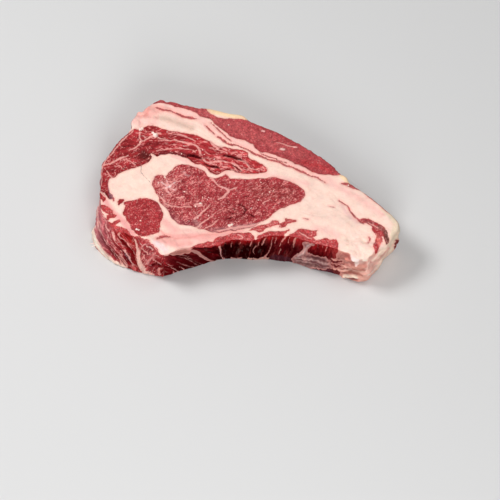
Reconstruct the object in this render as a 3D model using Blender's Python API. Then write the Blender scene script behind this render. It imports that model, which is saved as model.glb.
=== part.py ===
"""A thick raw slice of aged rib-eye beef, lying flat on one of its two cut faces.

Sizes are in millimetres up to the last step, which scales the mesh to metres. +Z is up and
+X runs along the slice to its tail end. The origin is the middle of the underside.
"""

import math

import bmesh
import bpy
import numpy as np
from mathutils import Vector, noise
from mathutils.geometry import delaunay_2d_cdt

METRES_PER_MM = 0.001

# Driving sizes
SLICE_THICKNESS = 33.0
UPPER_ROUND = 1.8
LOWER_ROUND = 3.0

# Spacing of the mesh points
RIM_SPACING = 3.2
FACE_SPACING = 3.3
UNDERSIDE_SPACING = 11.0
GROOVE_SPACING = 2.4
CREASE_STEP = 0.8
EDGE_GAP = 0.6
SIDE_RINGS = 8
ROUND_STEPS = 2

# Slow rise and fall of the upper cut face
SWELL_HEIGHT = 0.7
SWELL_LENGTH = 38.0

# Strands of muscle that stand out on the side, leaning as they rise
STRAND_HEIGHT = 1.0
STRAND_WIDTH = 7.0
STRAND_STRETCH = 4.0
STRAND_LEAN = 0.5
RIM_STRANDS = 0.25

# How sharply the side curves out to its foot
FOOT_CURVE = 1.3

# Bundles of the loose-grained cap muscle, longer than they are wide
BUNDLE_HEIGHT = 0.9
BUNDLE_WIDTH = 6.0
BUNDLE_STRETCH = 2.2

# Length of rim over which the directions out of it are evened out
NORMAL_REACH = 9.0

# Edge of the upper cut face, anticlockwise from the front left corner:
# x, y, how far the foot of the side stands out from it, and the swell half way up.
OUTLINE = (
    (-95, -44, 9, 1), (-87, -48, 10, 1), (-80, -51, 9, 1), (-72, -54.5, 8, 1),
    (-66, -60, 4, 1), (-60, -66.5, -2, 1.5), (-54, -65.5, -2, 1.5), (-46, -61.5, -1.5, 1),
    (-38, -60.5, -3, 0), (-28, -60, -6.5, -1), (-18, -58, -7.5, -1.5), (-12, -54.5, -5, -2),
    (-4, -54, -4.5, -2), (6, -54.5, -4, -2), (14, -51.5, -1.5, -1), (24, -50.5, 1, -0.5),
    (35, -51.5, 1.5, 0), (46, -56, 1.5, 0.5), (57, -59, 1.5, 0.5), (66, -62, 1, 1),
    (76, -66, 1.5, 1), (84, -68.3, 1, 0.5), (88.5, -67.5, 0.5, 0.5), (93, -63.5, 0, 0.5),
    (98, -60, -3, 0.5), (103, -56.5, -6, 0), (106.5, -50, -5, 0), (110, -43, -3, 0.5),
    (108.5, -36.5, -2, 1), (96, -23, 0, 1.5), (89.5, -16.5, 1, 1.5), (78, -6.5, 1, 1),
    (75, -4, 1, 0.5), (73, 0.5, 2, 0.5), (68.5, 4, 2, 1), (62, 12.5, 2, 1.5),
    (50, 22.5, 2, 2), (36, 32, 2, 2), (21, 40.8, 2, 2), (8, 47, 2, 2),
    (2, 50.5, 1, 1.5), (-2, 54, 0, 1), (-12, 56, 0, 1), (-24, 59.7, 0, 1),
    (-36, 62, 0, 1), (-46, 64.5, 0, 1), (-53, 67, 0, 0.5), (-57, 66, 0, 0.5),
    (-61, 68.5, -1, 0), (-67, 64.5, 0, 0.5), (-72, 60.5, 0, 1), (-75, 57, 1, 0.5),
    (-78, 57, 0, 0.5), (-80, 52, 1, 0.5), (-82.5, 47.5, 0, 0), (-82.3, 43, 2, 1),
    (-86, 38.5, 2, 2), (-91, 32.5, 3, 2), (-96, 25, 3, 2), (-100, 18.5, 2, 1.5),
    (-104, 12.5, 1, 0.5), (-105, 5, 0.5, 0), (-105, -8, 1.5, 0), (-104.5, -20, 4.5, 0),
    (-103.5, -28, 7.5, 0.5), (-100, -36, 10, 1),
)

# Muscles as they show on the cut face, each with how far it lies below the fat round it
EYE_MUSCLE = (
    (-65, -3), (-66, -9), (-62.5, -17), (-57, -26), (-52, -35.5), (-47, -40.5), (-38, -42.5),
    (-30, -45), (-18, -47.5), (-5, -45), (6, -42.5), (14, -37.5), (21, -31), (28, -26.5),
    (37, -22.5), (42, -18.5), (43, -14), (39, -8.5), (32, -4), (22, -1), (10, -1.5), (-3, -1.5),
    (-10, 0), (-15, 2), (-21, -1), (-27, 0.5), (-32, 6.5), (-40, 10), (-46, 10.5), (-52, 6),
    (-57, 1), (-61, 1.5),
)
ROUND_MUSCLE = (
    (-86.5, -23), (-80, -19.5), (-73, -18), (-65, -20), (-60.5, -26), (-58.5, -33), (-60.5, -41),
    (-63, -48.5), (-71, -50.5), (-78, -48.5), (-83, -41), (-86, -34), (-87, -28),
)
CAP_MUSCLE = (
    (-95, -18), (-98, -8), (-96, -0.5), (-88, 4.5), (-77, 9), (-69, 13), (-67, 17.5), (-60, 19),
    (-52, 19.5), (-44, 17), (-35, 11.5), (-28, 8), (-23, 3), (-17, 4), (-9, 5.5), (0, 3), (13, 3.5),
    (15, 6), (10, 12.5), (3, 17.5), (0, 23), (-10, 25.5), (-22, 28), (-32, 34.5), (-45, 38.5),
    (-60, 42), (-69, 45), (-78, 42), (-88, 33), (-98, 19), (-105, 10), (-105.5, 0), (-104, -12),
)
FLANK_MUSCLE = (
    (69, 3), (60, 2), (48, 5), (34, 13), (20, 19.5), (11, 21.5), (4, 29), (-8, 34), (-18, 42),
    (-27, 51), (-38, 57), (-52, 62), (-64, 65), (-54, 67), (-36, 62), (-24, 55), (-12, 51), (2, 50.5),
    (16, 43), (36, 32), (50, 22.5), (62, 12.5),
)
TAIL_MUSCLE = (
    (81, -37), (88, -36), (96, -40), (102, -47), (103, -54), (98, -58), (94, -63), (92, -57),
    (93, -49), (89, -42),
)
MUSCLES = (
    (EYE_MUSCLE, 0.7), (ROUND_MUSCLE, 0.4), (CAP_MUSCLE, 1.3), (FLANK_MUSCLE, 0.9), (TAIL_MUSCLE, 0.8),
)
MUSCLE_EDGE = 2.5

# Shallow rises and hollows of the cut face: x, y, radius and height
SWELLS = (
    (-6, -27, 15, -1.1), (-42, -14, 16, 0.5), (-74, -34, 12, 0.5), (-71, -2, 14, 0.9),
    (30, 2, 16, 0.6), (62, -40, 20, 0.7), (-45, 50, 12, -0.6), (-95, 8, 10, -0.7),
)

# Splits between bundles of the cap muscle, pits in the eye and the seam down the tail:
# route, depth at its middle and half width
CREASES = (
    (((-42, 19.5), (-38, 20.5), (-33, 19), (-30, 17.5)), 1.8, 1.6),
    (((-17, 20), (-10, 19.5), (-5, 18), (-1, 16.5)), 1.8, 1.6),
    (((-30, 13), (-24, 10.5), (-18, 9.5)), 1.4, 1.4),
    (((-4, -22), (-1.5, -25), (-0.5, -29)), 1.2, 1.4),
    (((-14, -36), (-9, -34)), 1.0, 1.4),
    (((68, -20), (74, -25), (77, -32), (83, -38)), 0.8, 1.4),
)

# Lumps that stand out of the side: x, y, height of the middle, radius, and how far out
LUMPS = (
    (83, -68, 22, 8, 2.0), (74, -65, 16, 6, 0.8), (-52, -65, 4, 5, 2.0), (-44, -60, 4, 4, 1.5),
    (-75, -60, 14, 7, 1.2), (-90, -50, 18, 8, -1.2), (-108, -40, 6, 7, 1.2), (-80, 52, 20, 8, 1.5),
    (55, -58, 8, 9, 1.2), (-24, -55, 12, 7, 1.5),
)

MEAT_COLOUR = (0.42, 0.09, 0.09, 1.0)
MEAT_ROUGHNESS = 0.45


def smooth_step(low, high, values):
    """0 below low, 1 above high, and a smooth rise between them."""
    share = np.clip((np.asarray(values, float) - low) / (high - low), 0.0, 1.0)
    return share * share * (3.0 - 2.0 * share)


def closed_curve(points, spacing):
    """Evenly spaced rows along a smooth closed curve through the points; each column is followed alike."""
    knots = np.array(points, float)
    share = np.linspace(0.0, 1.0, 16, endpoint=False)[:, None]
    spans = []
    for before, start, end, after in zip(
        np.roll(knots, 1, 0), knots, np.roll(knots, -1, 0), np.roll(knots, -2, 0)
    ):
        spans.append(0.5 * (
            2 * start + (end - before) * share
            + (2 * before - 5 * start + 4 * end - after) * share**2
            + (3 * start - before - 3 * end + after) * share**3
        ))
    dense = np.vstack(spans + [knots[:1]])
    steps = np.linalg.norm(np.diff(dense[:, :2], axis=0), axis=1)
    along = np.concatenate([[0.0], np.cumsum(steps)])
    wanted = np.linspace(0.0, along[-1], max(8, round(along[-1] / spacing)), endpoint=False)
    return np.stack([np.interp(wanted, along, column) for column in dense.T], axis=1)


def along_line(route, spacing):
    """Evenly spaced points along a route of straight stretches, with both of its ends."""
    corners = np.array(route, float)
    steps = np.linalg.norm(np.diff(corners, axis=0), axis=1)
    along = np.concatenate([[0.0], np.cumsum(steps)])
    wanted = np.linspace(0.0, along[-1], max(3, round(along[-1] / spacing) + 1))
    return np.stack([np.interp(wanted, along, column) for column in corners.T], axis=1)


def segment_distance(points, starts, ends):
    """Distance from each point to the nearest of the straight segments."""
    run = ends - starts
    offset = points[:, None, :] - starts[None, :, :]
    share = np.clip((offset * run).sum(-1) / (run * run).sum(-1), 0.0, 1.0)
    return np.linalg.norm(offset - share[..., None] * run, axis=-1).min(axis=1)


def signed_distance(points, loop):
    """Distance to a closed loop, positive inside it."""
    ends = np.roll(loop, -1, 0)
    x, y = points[:, :1], points[:, 1:2]
    crosses = (loop[:, 1] > y) != (ends[:, 1] > y)
    rise = ends[:, 1] - loop[:, 1]
    at = loop[:, 0] + (y - loop[:, 1]) * (ends[:, 0] - loop[:, 0]) / np.where(rise == 0, 1e-9, rise)
    inside = (crosses & (x < at)).sum(axis=1) % 2 == 1
    distance = segment_distance(points, loop, ends)
    return np.where(inside, distance, -distance)


def outward_normals(loop):
    """Directions out of the loop, evened out over NORMAL_REACH so that they never cross."""
    reach = max(1, round(NORMAL_REACH / RIM_SPACING))
    along = np.roll(loop, -reach, 0) - np.roll(loop, reach, 0)
    normals = np.stack([along[:, 1], -along[:, 0]], axis=1)
    return normals / np.linalg.norm(normals, axis=1, keepdims=True)


def noise_at(x, y, z, length):
    """Smooth noise from about -1 to 1, with features of that length."""
    return np.array([
        noise.noise(Vector(place)) for place in np.stack([x, y, z], axis=-1) / length
    ])


def face_height(points):
    """Height of the upper cut face at each plan point."""
    zero = np.zeros(len(points))
    height = SLICE_THICKNESS + SWELL_HEIGHT * noise_at(points[:, 0], points[:, 1], zero, SWELL_LENGTH)
    for outline, depth in MUSCLES:
        inside = signed_distance(points, closed_curve(outline, FACE_SPACING))
        height -= depth * smooth_step(-0.5, MUSCLE_EDGE, inside)
        if outline is CAP_MUSCLE:
            grain = noise_at(points[:, 0] / BUNDLE_STRETCH, points[:, 1], zero, BUNDLE_WIDTH)
            height += BUNDLE_HEIGHT * grain * smooth_step(0.0, MUSCLE_EDGE, inside)
    for x, y, radius, rise in SWELLS:
        height += rise * (1.0 - smooth_step(0.0, radius, np.linalg.norm(points - (x, y), axis=1)))
    for route, depth, half_width in CREASES:
        line = along_line(route, CREASE_STEP)
        deep = depth * np.sin(np.linspace(0.0, math.pi, len(line)))
        away = np.linalg.norm(points[:, None, :] - line[None, :, :], axis=-1)
        height -= (deep * (1.0 - smooth_step(0.0, half_width, away))).max(axis=1)
    return height


def ring_levels():
    """Each ring from the foot to the rim: share of the way up, inset, and rise above that share."""
    turns = np.linspace(0.0, math.pi / 2, ROUND_STEPS, endpoint=False)
    foot = [(0.0, LOWER_ROUND * (1 - math.sin(a)), LOWER_ROUND * (1 - math.cos(a))) for a in turns]
    rim = [(1.0, UPPER_ROUND * (1 - math.sin(a)), UPPER_ROUND * (math.cos(a) - 1)) for a in turns]
    side = [
        (share, 0.0, LOWER_ROUND * (1 - share) - UPPER_ROUND * share)
        for share in np.linspace(0.0, 1.0, SIDE_RINGS)
    ]
    return foot + side + rim[::-1]


def side_rings(rim, normals):
    """The rings of points that make the side, from the foot's inner edge up to the cut face."""
    foot_out, swell = rim[:, 2], rim[:, 3]
    top = face_height(rim[:, :2] - normals * UPPER_ROUND)
    rings = []
    for share, inset, rise in ring_levels():
        height = share * top + rise
        middle = 4.0 * share * (1.0 - share)
        strands = noise_at(
            rim[:, 0] + STRAND_LEAN * height, rim[:, 1], height / STRAND_STRETCH, STRAND_WIDTH
        )
        out = foot_out * (1.0 - share) ** FOOT_CURVE + swell * middle - inset
        out += STRAND_HEIGHT * strands * (RIM_STRANDS + (1.0 - RIM_STRANDS) * middle)
        places = np.column_stack([rim[:, :2] + normals * out[:, None], height])
        for x, y, z, radius, push in LUMPS:
            near = 1.0 - smooth_step(0.0, radius, np.linalg.norm(places - (x, y, z), axis=1))
            places[:, :2] += normals * (push * near)[:, None]
        rings.append(places)
    return rings


def points_inside(loop, spacing):
    """A triangular pattern of points inside the loop, kept clear of its edge."""
    (left, front), (right, back) = loop.min(axis=0), loop.max(axis=0)
    columns = np.arange(left, right, spacing)
    rows = np.arange(front, back, spacing * math.sqrt(3) / 2)
    x, y = np.meshgrid(columns, rows)
    x[1::2] += spacing / 2
    pattern = np.column_stack([x.ravel(), y.ravel()])
    return pattern[signed_distance(pattern, loop) > EDGE_GAP * spacing]


def crease_points():
    """Points down the middle and both edges of each split, so that it shows as a clean groove."""
    found = []
    for route, _, half_width in CREASES:
        line = along_line(route, GROOVE_SPACING)
        run = np.gradient(line, axis=0)
        across = np.column_stack([-run[:, 1], run[:, 0]]) / np.linalg.norm(run, axis=1, keepdims=True)
        found += [line, (line + across * half_width)[1:-1], (line - across * half_width)[1:-1]]
    return np.vstack(found)


def clear_of(points, others, gap):
    """The points that lie at least gap from every other point."""
    apart = np.linalg.norm(points[:, None, :] - others[None, :, :], axis=-1).min(axis=1)
    return points[apart > gap]


def add_face(mesh, edge_verts, inner, height_of, upward):
    """Fills one cut face inside a ring of vertices, with inner points at their own height."""
    loop = np.array([vert.co[:2] for vert in edge_verts])
    flat = [Vector(place) for place in np.vstack([loop, inner]).tolist()]
    border = [(i, (i + 1) % len(loop)) for i in range(len(loop))]
    placed, _, faces, sources, _, _ = delaunay_2d_cdt(flat, border, [], 1, 1e-4)
    heights = height_of(np.array([place[:] for place in placed]))
    verts = [
        edge_verts[source[0]] if source and source[0] < len(loop)
        else mesh.verts.new((place.x, place.y, height))
        for place, source, height in zip(placed, sources, heights)
    ]
    for face in faces:
        corners = face if upward else face[::-1]
        mesh.faces.new([verts[i] for i in corners])


def steak_mesh():
    """The whole slice as one closed mesh, in millimetres."""
    rim = closed_curve(OUTLINE, RIM_SPACING)
    normals = outward_normals(rim[:, :2])
    mesh = bmesh.new()
    rings = [[mesh.verts.new(place) for place in ring] for ring in side_rings(rim, normals)]
    for lower, upper in zip(rings[:-1], rings[1:]):
        for i in range(len(rim)):
            j = (i + 1) % len(rim)
            mesh.faces.new((lower[i], lower[j], upper[j], upper[i]))

    upper_loop = np.array([vert.co[:2] for vert in rings[-1]])
    creases = crease_points()
    pattern = clear_of(points_inside(upper_loop, FACE_SPACING), creases, EDGE_GAP * FACE_SPACING)
    add_face(mesh, rings[-1], np.vstack([pattern, creases]), face_height, True)

    lower_loop = np.array([vert.co[:2] for vert in rings[0]])
    sparse = points_inside(lower_loop, UNDERSIDE_SPACING)
    add_face(mesh, rings[0], sparse, lambda places: np.zeros(len(places)), False)
    return mesh


def centred(mesh):
    """Moves the mesh so that the middle of its underside is the origin, and scales it to metres."""
    places = np.array([vert.co[:] for vert in mesh.verts])
    low, high = places.min(axis=0), places.max(axis=0)
    middle = Vector(((low[0] + high[0]) / 2, (low[1] + high[1]) / 2, low[2]))
    for vert in mesh.verts:
        vert.co = (vert.co - middle) * METRES_PER_MM


def meat_material():
    material = bpy.data.materials.new("raw_beef")
    material.use_nodes = True
    shader = material.node_tree.nodes["Principled BSDF"]
    shader.inputs["Base Color"].default_value = MEAT_COLOUR
    shader.inputs["Roughness"].default_value = MEAT_ROUGHNESS
    shader.inputs["Metallic"].default_value = 0.0
    return material


def main():
    for leftover in list(bpy.data.objects):
        bpy.data.objects.remove(leftover)
    collection = bpy.data.collections.new("ribeye_steak")
    bpy.context.scene.collection.children.link(collection)

    shape = steak_mesh()
    centred(shape)
    data = bpy.data.meshes.new("steak")
    shape.to_mesh(data)
    shape.free()
    data.shade_smooth()
    data.set_sharp_from_angle(angle=math.radians(50))
    data.materials.append(meat_material())
    steak = bpy.data.objects.new("steak", data)
    collection.objects.link(steak)


main()
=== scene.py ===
"""Look of a raw, thick-cut, aged rib-eye steak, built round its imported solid.

Lengths are in millimetres until a mesh is made. Patterns are laid out in the plan of the cut face:
x runs along the slice to its tail, y to its far edge. A point on the near side takes the plan place
that it shows at when the slice is seen at the angle SEEN_FROM above its near edge.
"""

import math

import bpy
import numpy as np
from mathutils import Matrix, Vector, noise
from mathutils.geometry import delaunay_2d_cdt


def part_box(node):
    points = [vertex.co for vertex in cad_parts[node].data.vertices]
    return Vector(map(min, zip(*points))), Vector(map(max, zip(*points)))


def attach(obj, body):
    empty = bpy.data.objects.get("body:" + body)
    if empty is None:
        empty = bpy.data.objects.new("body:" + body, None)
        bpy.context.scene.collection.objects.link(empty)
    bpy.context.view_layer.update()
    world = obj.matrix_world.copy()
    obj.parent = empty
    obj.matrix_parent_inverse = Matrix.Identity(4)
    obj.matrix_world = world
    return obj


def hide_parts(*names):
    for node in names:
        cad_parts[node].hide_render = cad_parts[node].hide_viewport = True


MM = 0.001
SEEN_FROM = math.radians(57)
SIDE_DROP = math.cos(SEEN_FROM) / math.sin(SEEN_FROM)
SEED = 7

# Driving sizes of the slice
SLICE_THICKNESS = 33.0
UPPER_ROUND = 1.8
LOWER_ROUND = 1.8
SWELL_HEIGHT = 0.7
SWELL_LENGTH = 38.0
STRAND_HEIGHT = 1.0
STRAND_WIDTH = 7.0
STRAND_STRETCH = 4.0
STRAND_LEAN = 0.5
RIM_STRANDS = 0.25
FOOT_CURVE = 1.3
NORMAL_REACH = 9.0

# Spacing of the skin's points
RIM_SPACING = 0.8
FACE_SPACING = 0.66
UNDERSIDE_SPACING = 1.5
SIDE_RINGS = 34
ROUND_STEPS = 4
RIM_RINGS = 3
EDGE_GAP = 0.6

# How far from an edge a pattern still knows its distance
REACH = 6.0

# Middle of the ring that the cap's fibres run round: x, y, how much wider than high, and radius
KERNEL = (-45.0, -25.0, 1.4, 56.0)

# Edge of the cut face: x, y, how far the foot stands out from it, and the swell half way up
OUTLINE = (
    (-95, -44, 7, 1), (-87, -48, 8, 1), (-80, -51, 8, 1), (-72, -54.5, 8, 1),
    (-66, -60, 4, 1), (-60, -66.5, -2, 1.5), (-54, -65.5, -2, 1.5), (-46, -61.5, -1.5, 1),
    (-38, -60.5, -3, 0), (-28, -60, -6.5, -1), (-18, -58, -7.5, -1.5), (-12, -54.5, -5, -2),
    (-4, -54, -4.5, -2), (6, -54.5, -4, -2), (14, -51.5, -1.5, -1), (24, -50.5, 1, -0.5),
    (35, -51.5, 1.5, 0), (46, -56, 1.5, 0.5), (57, -59, 1.5, 0.5), (66, -62, 1, 1),
    (76, -66, 1.5, 1), (84, -68.3, 1, 0.5), (88.5, -67.5, 0, 0.5), (93, -63.5, -1.6, 0.5),
    (98, -60, -3, 0.5), (103, -56.5, -6, 0), (106.5, -50, -5, 0), (110, -43, -3, 0.5),
    (108.5, -36.5, -2, 1), (96, -23, 0, 1.5), (89.5, -16.5, 1, 1.5), (78, -6.5, 1, 1),
    (75, -4, 1, 0.5), (73, 0.5, 2, 0.5), (68.5, 4, 2, 1), (62, 12.5, 2, 1.5),
    (50, 22.5, 2, 2), (36, 32, 2, 2), (21, 40.8, 2, 2), (8, 47, 2, 2),
    (2, 50.5, 1, 1.5), (-2, 54, 0, 1), (-12, 56, 0, 1), (-24, 59.7, 0, 1),
    (-36, 62, 0, 1), (-46, 64.5, 0, 1), (-53, 67, 0, 0.5), (-57, 66, 0, 0.5),
    (-61, 68.5, -1, 0), (-67, 64.5, 0, 0.5), (-72, 60.5, 0, 1), (-75, 57, 1, 0.5),
    (-78, 57, 0, 0.5), (-80, 52, 1, 0.5), (-82.5, 47.5, 0, 0), (-82.3, 43, 2, 1),
    (-86, 38.5, 2, 2), (-91, 32.5, 3, 2), (-96, 25, 3, 2), (-100, 18.5, 2, 1.5),
    (-104, 12.5, 1, 0.5), (-105, 5, 0.5, 0), (-105, -8, 1.5, 0), (-104.5, -20, 4.5, 0),
    (-103.5, -28, 7.5, 0.5), (-100, -36, 8.8, 1),
)

# Shallow rises and hollows of the cut face: x, y, radius and height
SWELLS = (
    (-6, -27, 15, -1.1), (-42, -14, 16, 0.5), (-74, -34, 12, 0.5), (-71, -2, 14, 0.9),
    (30, 2, 16, 0.6), (62, -40, 20, 0.7), (-45, 50, 12, -0.6), (-95, 8, 10, -0.7), (85, -69, 12, -2.6),
)

# Lumps that stand out of the side: x, y, height of the middle, radius, and how far out
LUMPS = (
    (83, -68, 22, 8, 2.0), (74, -65, 16, 6, 0.8), (-52, -65, 4, 5, 2.0), (-44, -60, 4, 4, 1.5),
    (-75, -60, 14, 7, 1.2), (-90, -50, 18, 8, -1.2), (-108, -40, 6, 7, 1.2), (-80, 52, 20, 8, 1.5),
    (55, -58, 8, 9, 1.2), (-24, -55, 12, 7, 1.5),
)

# Colours of the raw beef, as seen in plain light; SHADED_FAT is fat with painted shade
EYE_RED = (169, 60, 65)
ROUND_RED = (172, 58, 62)
CAP_RED = (162, 50, 54)
FLANK_RED = (182, 76, 80)
EDGE_RED = (186, 70, 72)
TAIL_RED = (182, 62, 66)
THREAD_RED = (186, 92, 92)
PURPLE_GREY = (140, 84, 96)
CREAM = (254, 219, 204)
PINK_FAT = (252, 201, 191)
GREY_FAT = (222, 188, 172)
YELLOW_FAT = (253, 218, 178)
RIND = (238, 214, 190)
SHADED_FAT = (140, 94, 93)
SOFT_FAT = (252, 216, 204)
WHITE_FAT = (255, 236, 226)

# Muscles on the cut face: outline, how deep they lie, colour and how strongly they are marbled
MUSCLES = {
    "eye": ((
        (-63, 1), (-66, -3), (-66.5, -8), (-64, -13), (-62, -17), (-61, -22), (-57, -26), (-54, -31),
        (-52, -36), (-48, -40), (-42, -42), (-36, -42.5), (-34, -44), (-27, -46.5), (-22, -48),
        (-15, -47.5), (-5, -45.5), (5, -43), (10, -40), (14, -37.5), (18, -34.5), (21, -31), (25, -28),
        (30, -25.5), (35, -23.5), (40, -20.5), (42, -18.5), (43, -15.5), (42.5, -12), (40, -9),
        (36, -6.5), (33, -4.5), (28, -3), (24, -1.5), (19, -0.5), (14, -1), (10, -1), (5, -1.5),
        (0, -2), (-5, -1.5), (-10, -1), (-12, 1.5), (-14, 2.5), (-17, 0.5), (-22, -1), (-26, 0),
        (-28, 3), (-30, 5.5), (-35, 8), (-40, 10), (-46, 10.5), (-50, 8.5), (-52, 6), (-55, 3.5),
        (-57, 1), (-60, 2),
    ), 0.5, EYE_RED, 0.8),
    "round": ((
        (-87, -22), (-83, -20.5), (-79, -19.5), (-75, -18), (-70, -18), (-65, -20), (-62, -23),
        (-60, -27), (-58.5, -31), (-58.5, -34), (-60, -38), (-60.5, -43), (-62, -47.5), (-66, -49.5),
        (-72, -50.5), (-76, -50), (-79, -47.5), (-82, -43.5), (-83, -40), (-85, -38), (-85.5, -35),
        (-87.5, -32.5), (-86.5, -28.5), (-86, -25),
    ), 0.3, ROUND_RED, 0.45),
    "cap": ((
        (-95, -18.5), (-96, -15), (-98, -8), (-97.5, -2), (-96, -0.5), (-93.5, 0), (-91, 3), (-87, 5),
        (-82, 7), (-77, 9), (-72, 11.5), (-68.5, 13.5), (-67, 17), (-68.5, 20.5), (-66, 19.5),
        (-63, 17.5), (-60, 19), (-55, 20), (-50, 19.5), (-46, 18), (-42, 16), (-38, 13), (-34, 11),
        (-30, 10), (-27, 7), (-24, 3.5), (-20, 2), (-17, 4), (-13, 6), (-9, 5.5), (-5, 3.5), (0, 3),
        (8, 3), (14, 3.5), (16, 5.5), (14, 9), (10, 12.5), (5, 15.5), (2.5, 18.5), (1.5, 21.5),
        (-3, 24), (-9, 25), (-14, 26), (-20, 27), (-24, 30), (-28, 32), (-32, 34.5), (-36, 37),
        (-42, 38), (-50, 40), (-58, 41.5), (-64, 44), (-69, 45), (-73, 43), (-77, 41), (-80, 42),
        (-85.5, 38.5), (-91, 32.5), (-96, 25), (-100, 18.5), (-104, 12), (-106, 4), (-106, -8),
        (-102.5, -13), (-100.5, -13.5), (-98, -18.5),
    ), 1.1, CAP_RED, 0.55),
    "flank": ((
        (69, 2.5), (66, 1.5), (60, 2), (54, 3), (48, 5), (42, 8.5), (36, 11.5), (30, 15), (25, 17.5),
        (20, 19.5), (15, 21), (11, 21.5), (8, 25), (5, 28.5), (0, 31.5), (-5, 33), (-10, 35), (-13, 38),
        (-18, 42), (-22, 46), (-26, 50.5), (-31, 52.5), (-36, 56), (-41, 58.5), (-45, 60.5),
        (-50, 61.5), (-56, 63.5), (-62, 64.5), (-67, 64), (-66, 72), (-36, 68), (-29, 61.5), (-27, 57),
        (-23, 54), (-18, 51.5), (-10, 50.5), (-3, 50), (3, 50), (8, 54), (40, 36), (62, 20), (74, 5),
    ), 0.6, FLANK_RED, 0.0),
    "tail": ((
        (81, -37), (85, -35.5), (90, -37), (93, -39), (97, -41), (101, -46), (103, -54), (102, -60),
        (100.6, -57.5), (99.4, -53), (98.6, -50.5), (98, -52), (97.8, -56), (95.6, -61), (93.5, -66),
        (92, -61), (91.5, -58), (93, -55), (93, -50), (91, -46), (90, -42), (86, -40), (83, -39),
    ), 0.6, TAIL_RED, 0.75),
    "under_eye": ((
        (2.2, -45.9), (8.4, -42), (16.6, -40), (19.5, -37.3), (23.7, -37.5), (25.3, -39.5), (28.6, -38),
        (28.6, -35.6), (36.5, -36.6), (36.9, -38), (32.7, -39.3), (30.7, -40.5), (27.8, -43.5),
        (24.5, -43.2), (25.3, -41), (19.5, -42.5), (14.6, -44.9), (10.4, -47.4), (6.3, -45.9),
    ), 0.4, EDGE_RED, 0.9),
    "near_edge_left": ((
        (-37.7, -62), (-33.9, -57.3), (-29.8, -56.8), (-26.5, -55.3), (-22.8, -55.8), (-20.3, -52.5),
        (-15.8, -50.9), (-12, -49.4), (-7.9, -47.9), (-5, -47.9), (-1.7, -47.9), (2.4, -47.4),
        (5.3, -49.4), (7, -52.3), (6, -60), (-20, -66),
    ), 0.3, EDGE_RED, 0.7),
    "near_edge_middle": ((
        (9, -50.5), (11.7, -48.9), (15.8, -46.9), (20.3, -46.9), (25.3, -46.7), (28.6, -46.4),
        (31.5, -44.9), (30.7, -46.9), (27.8, -49.4), (26, -56), (10, -60),
    ), 0.3, EDGE_RED, 0.7),
    "near_edge_right": ((
        (30, -51), (34, -48.5), (36.5, -46.4), (38.5, -44.7), (41, -44.4), (46.8, -45.7), (49.7, -46.2),
        (52.2, -45.4), (50.5, -47.4), (50.9, -49.9), (48.5, -51.8), (51.8, -54.3), (58, -52.3),
        (60, -53.8), (65.4, -54.3), (66.5, -60), (66, -66), (30, -60),
    ), 0.3, EDGE_RED, 0.7),
    "island_a": ((
        (-105, -13), (-101.7, -14.2), (-99.7, -17.9), (-101.2, -21), (-103.8, -18.5), (-104.8, -16.1),
    ), 0.4, CAP_RED, 0.4),
    "island_b": ((
        (-103.3, -23.4), (-99.7, -24.6), (-96.1, -27.7), (-94.3, -30.5), (-96.6, -32), (-99.7, -31.4),
        (-102.2, -28.9), (-103.5, -25.9),
    ), 0.5, EDGE_RED, 0.4),
    "island_c": ((
        (-98.6, -33.2), (-94, -31.4), (-92, -33.2), (-93.5, -35.1), (-96.6, -35.9), (-98.1, -38.1),
        (-99.2, -35.1),
    ), 0.4, EDGE_RED, 0.4),
    "island_d": ((
        (-95.6, -39.4), (-92.5, -37.5), (-89.9, -36.9), (-88.9, -38.4), (-90.9, -40), (-93.5, -41.6),
        (-95.4, -41.2),
    ), 0.4, EDGE_RED, 0.4),
    "island_e": ((
        (-90.9, -19.7), (-87.8, -19.1), (-86.3, -20.4), (-88.9, -22.8), (-89.9, -24.7), (-91.2, -22.8),
    ), 0.3, CAP_RED, 0.4),
    "corner": ((
        (-78, -50.8), (-74, -51.6), (-71.5, -53.8), (-69, -53.6), (-67.6, -56.2), (-65.4, -57.4),
        (-64.6, -60.2), (-62.4, -61.4), (-61.4, -64.4), (-59.6, -66), (-60, -70), (-70, -66), (-80, -58),
    ), 0.3, EDGE_RED, 1.0),
    "left_edge": ((
        (-99.5, -38.5), (-97, -38.5), (-92, -42), (-86, -43.5), (-83.5, -46), (-81.5, -49.5),
        (-79.5, -50.5), (-77, -53), (-80, -58), (-100, -52), (-106, -40),
    ), 0.3, EDGE_RED, 0.5),
}

# Small knobs of fat on the cut face: x, y, radius and height
KNOBS = (
    (-79, 50, 4.5, 0.7), (-75, 57, 3.5, 0.9), (-72, 51, 4, 0.8), (-68, 58, 4, 0.7), (-60, 61, 6, 0.5),
    (-66, 50, 3.5, 0.7), (-78, 46, 3, 0.9), (-71, 62, 3, 0.8),
    (-60, -58, 6, 0.7), (-52, -58, 5, 0.5), (-44, -53, 6, 0.6), (-68, -54, 4, 0.6), (-30, -50, 5, 0.4),
    (80, -58, 6, 0.7), (86, -60, 5, 0.8), (72, -58, 6, 0.5), (92, -46, 4, 0.4), (58, -22, 8, 0.5),
    (50, -36, 7, 0.4), (70, -42, 9, 0.6), (84, -24, 7, 0.4), (100, -36, 5, 0.5), (-97, -34, 4, 0.5),
    (-91, -40, 4, 0.4), (-101, -22, 3, 0.4),
)

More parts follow.
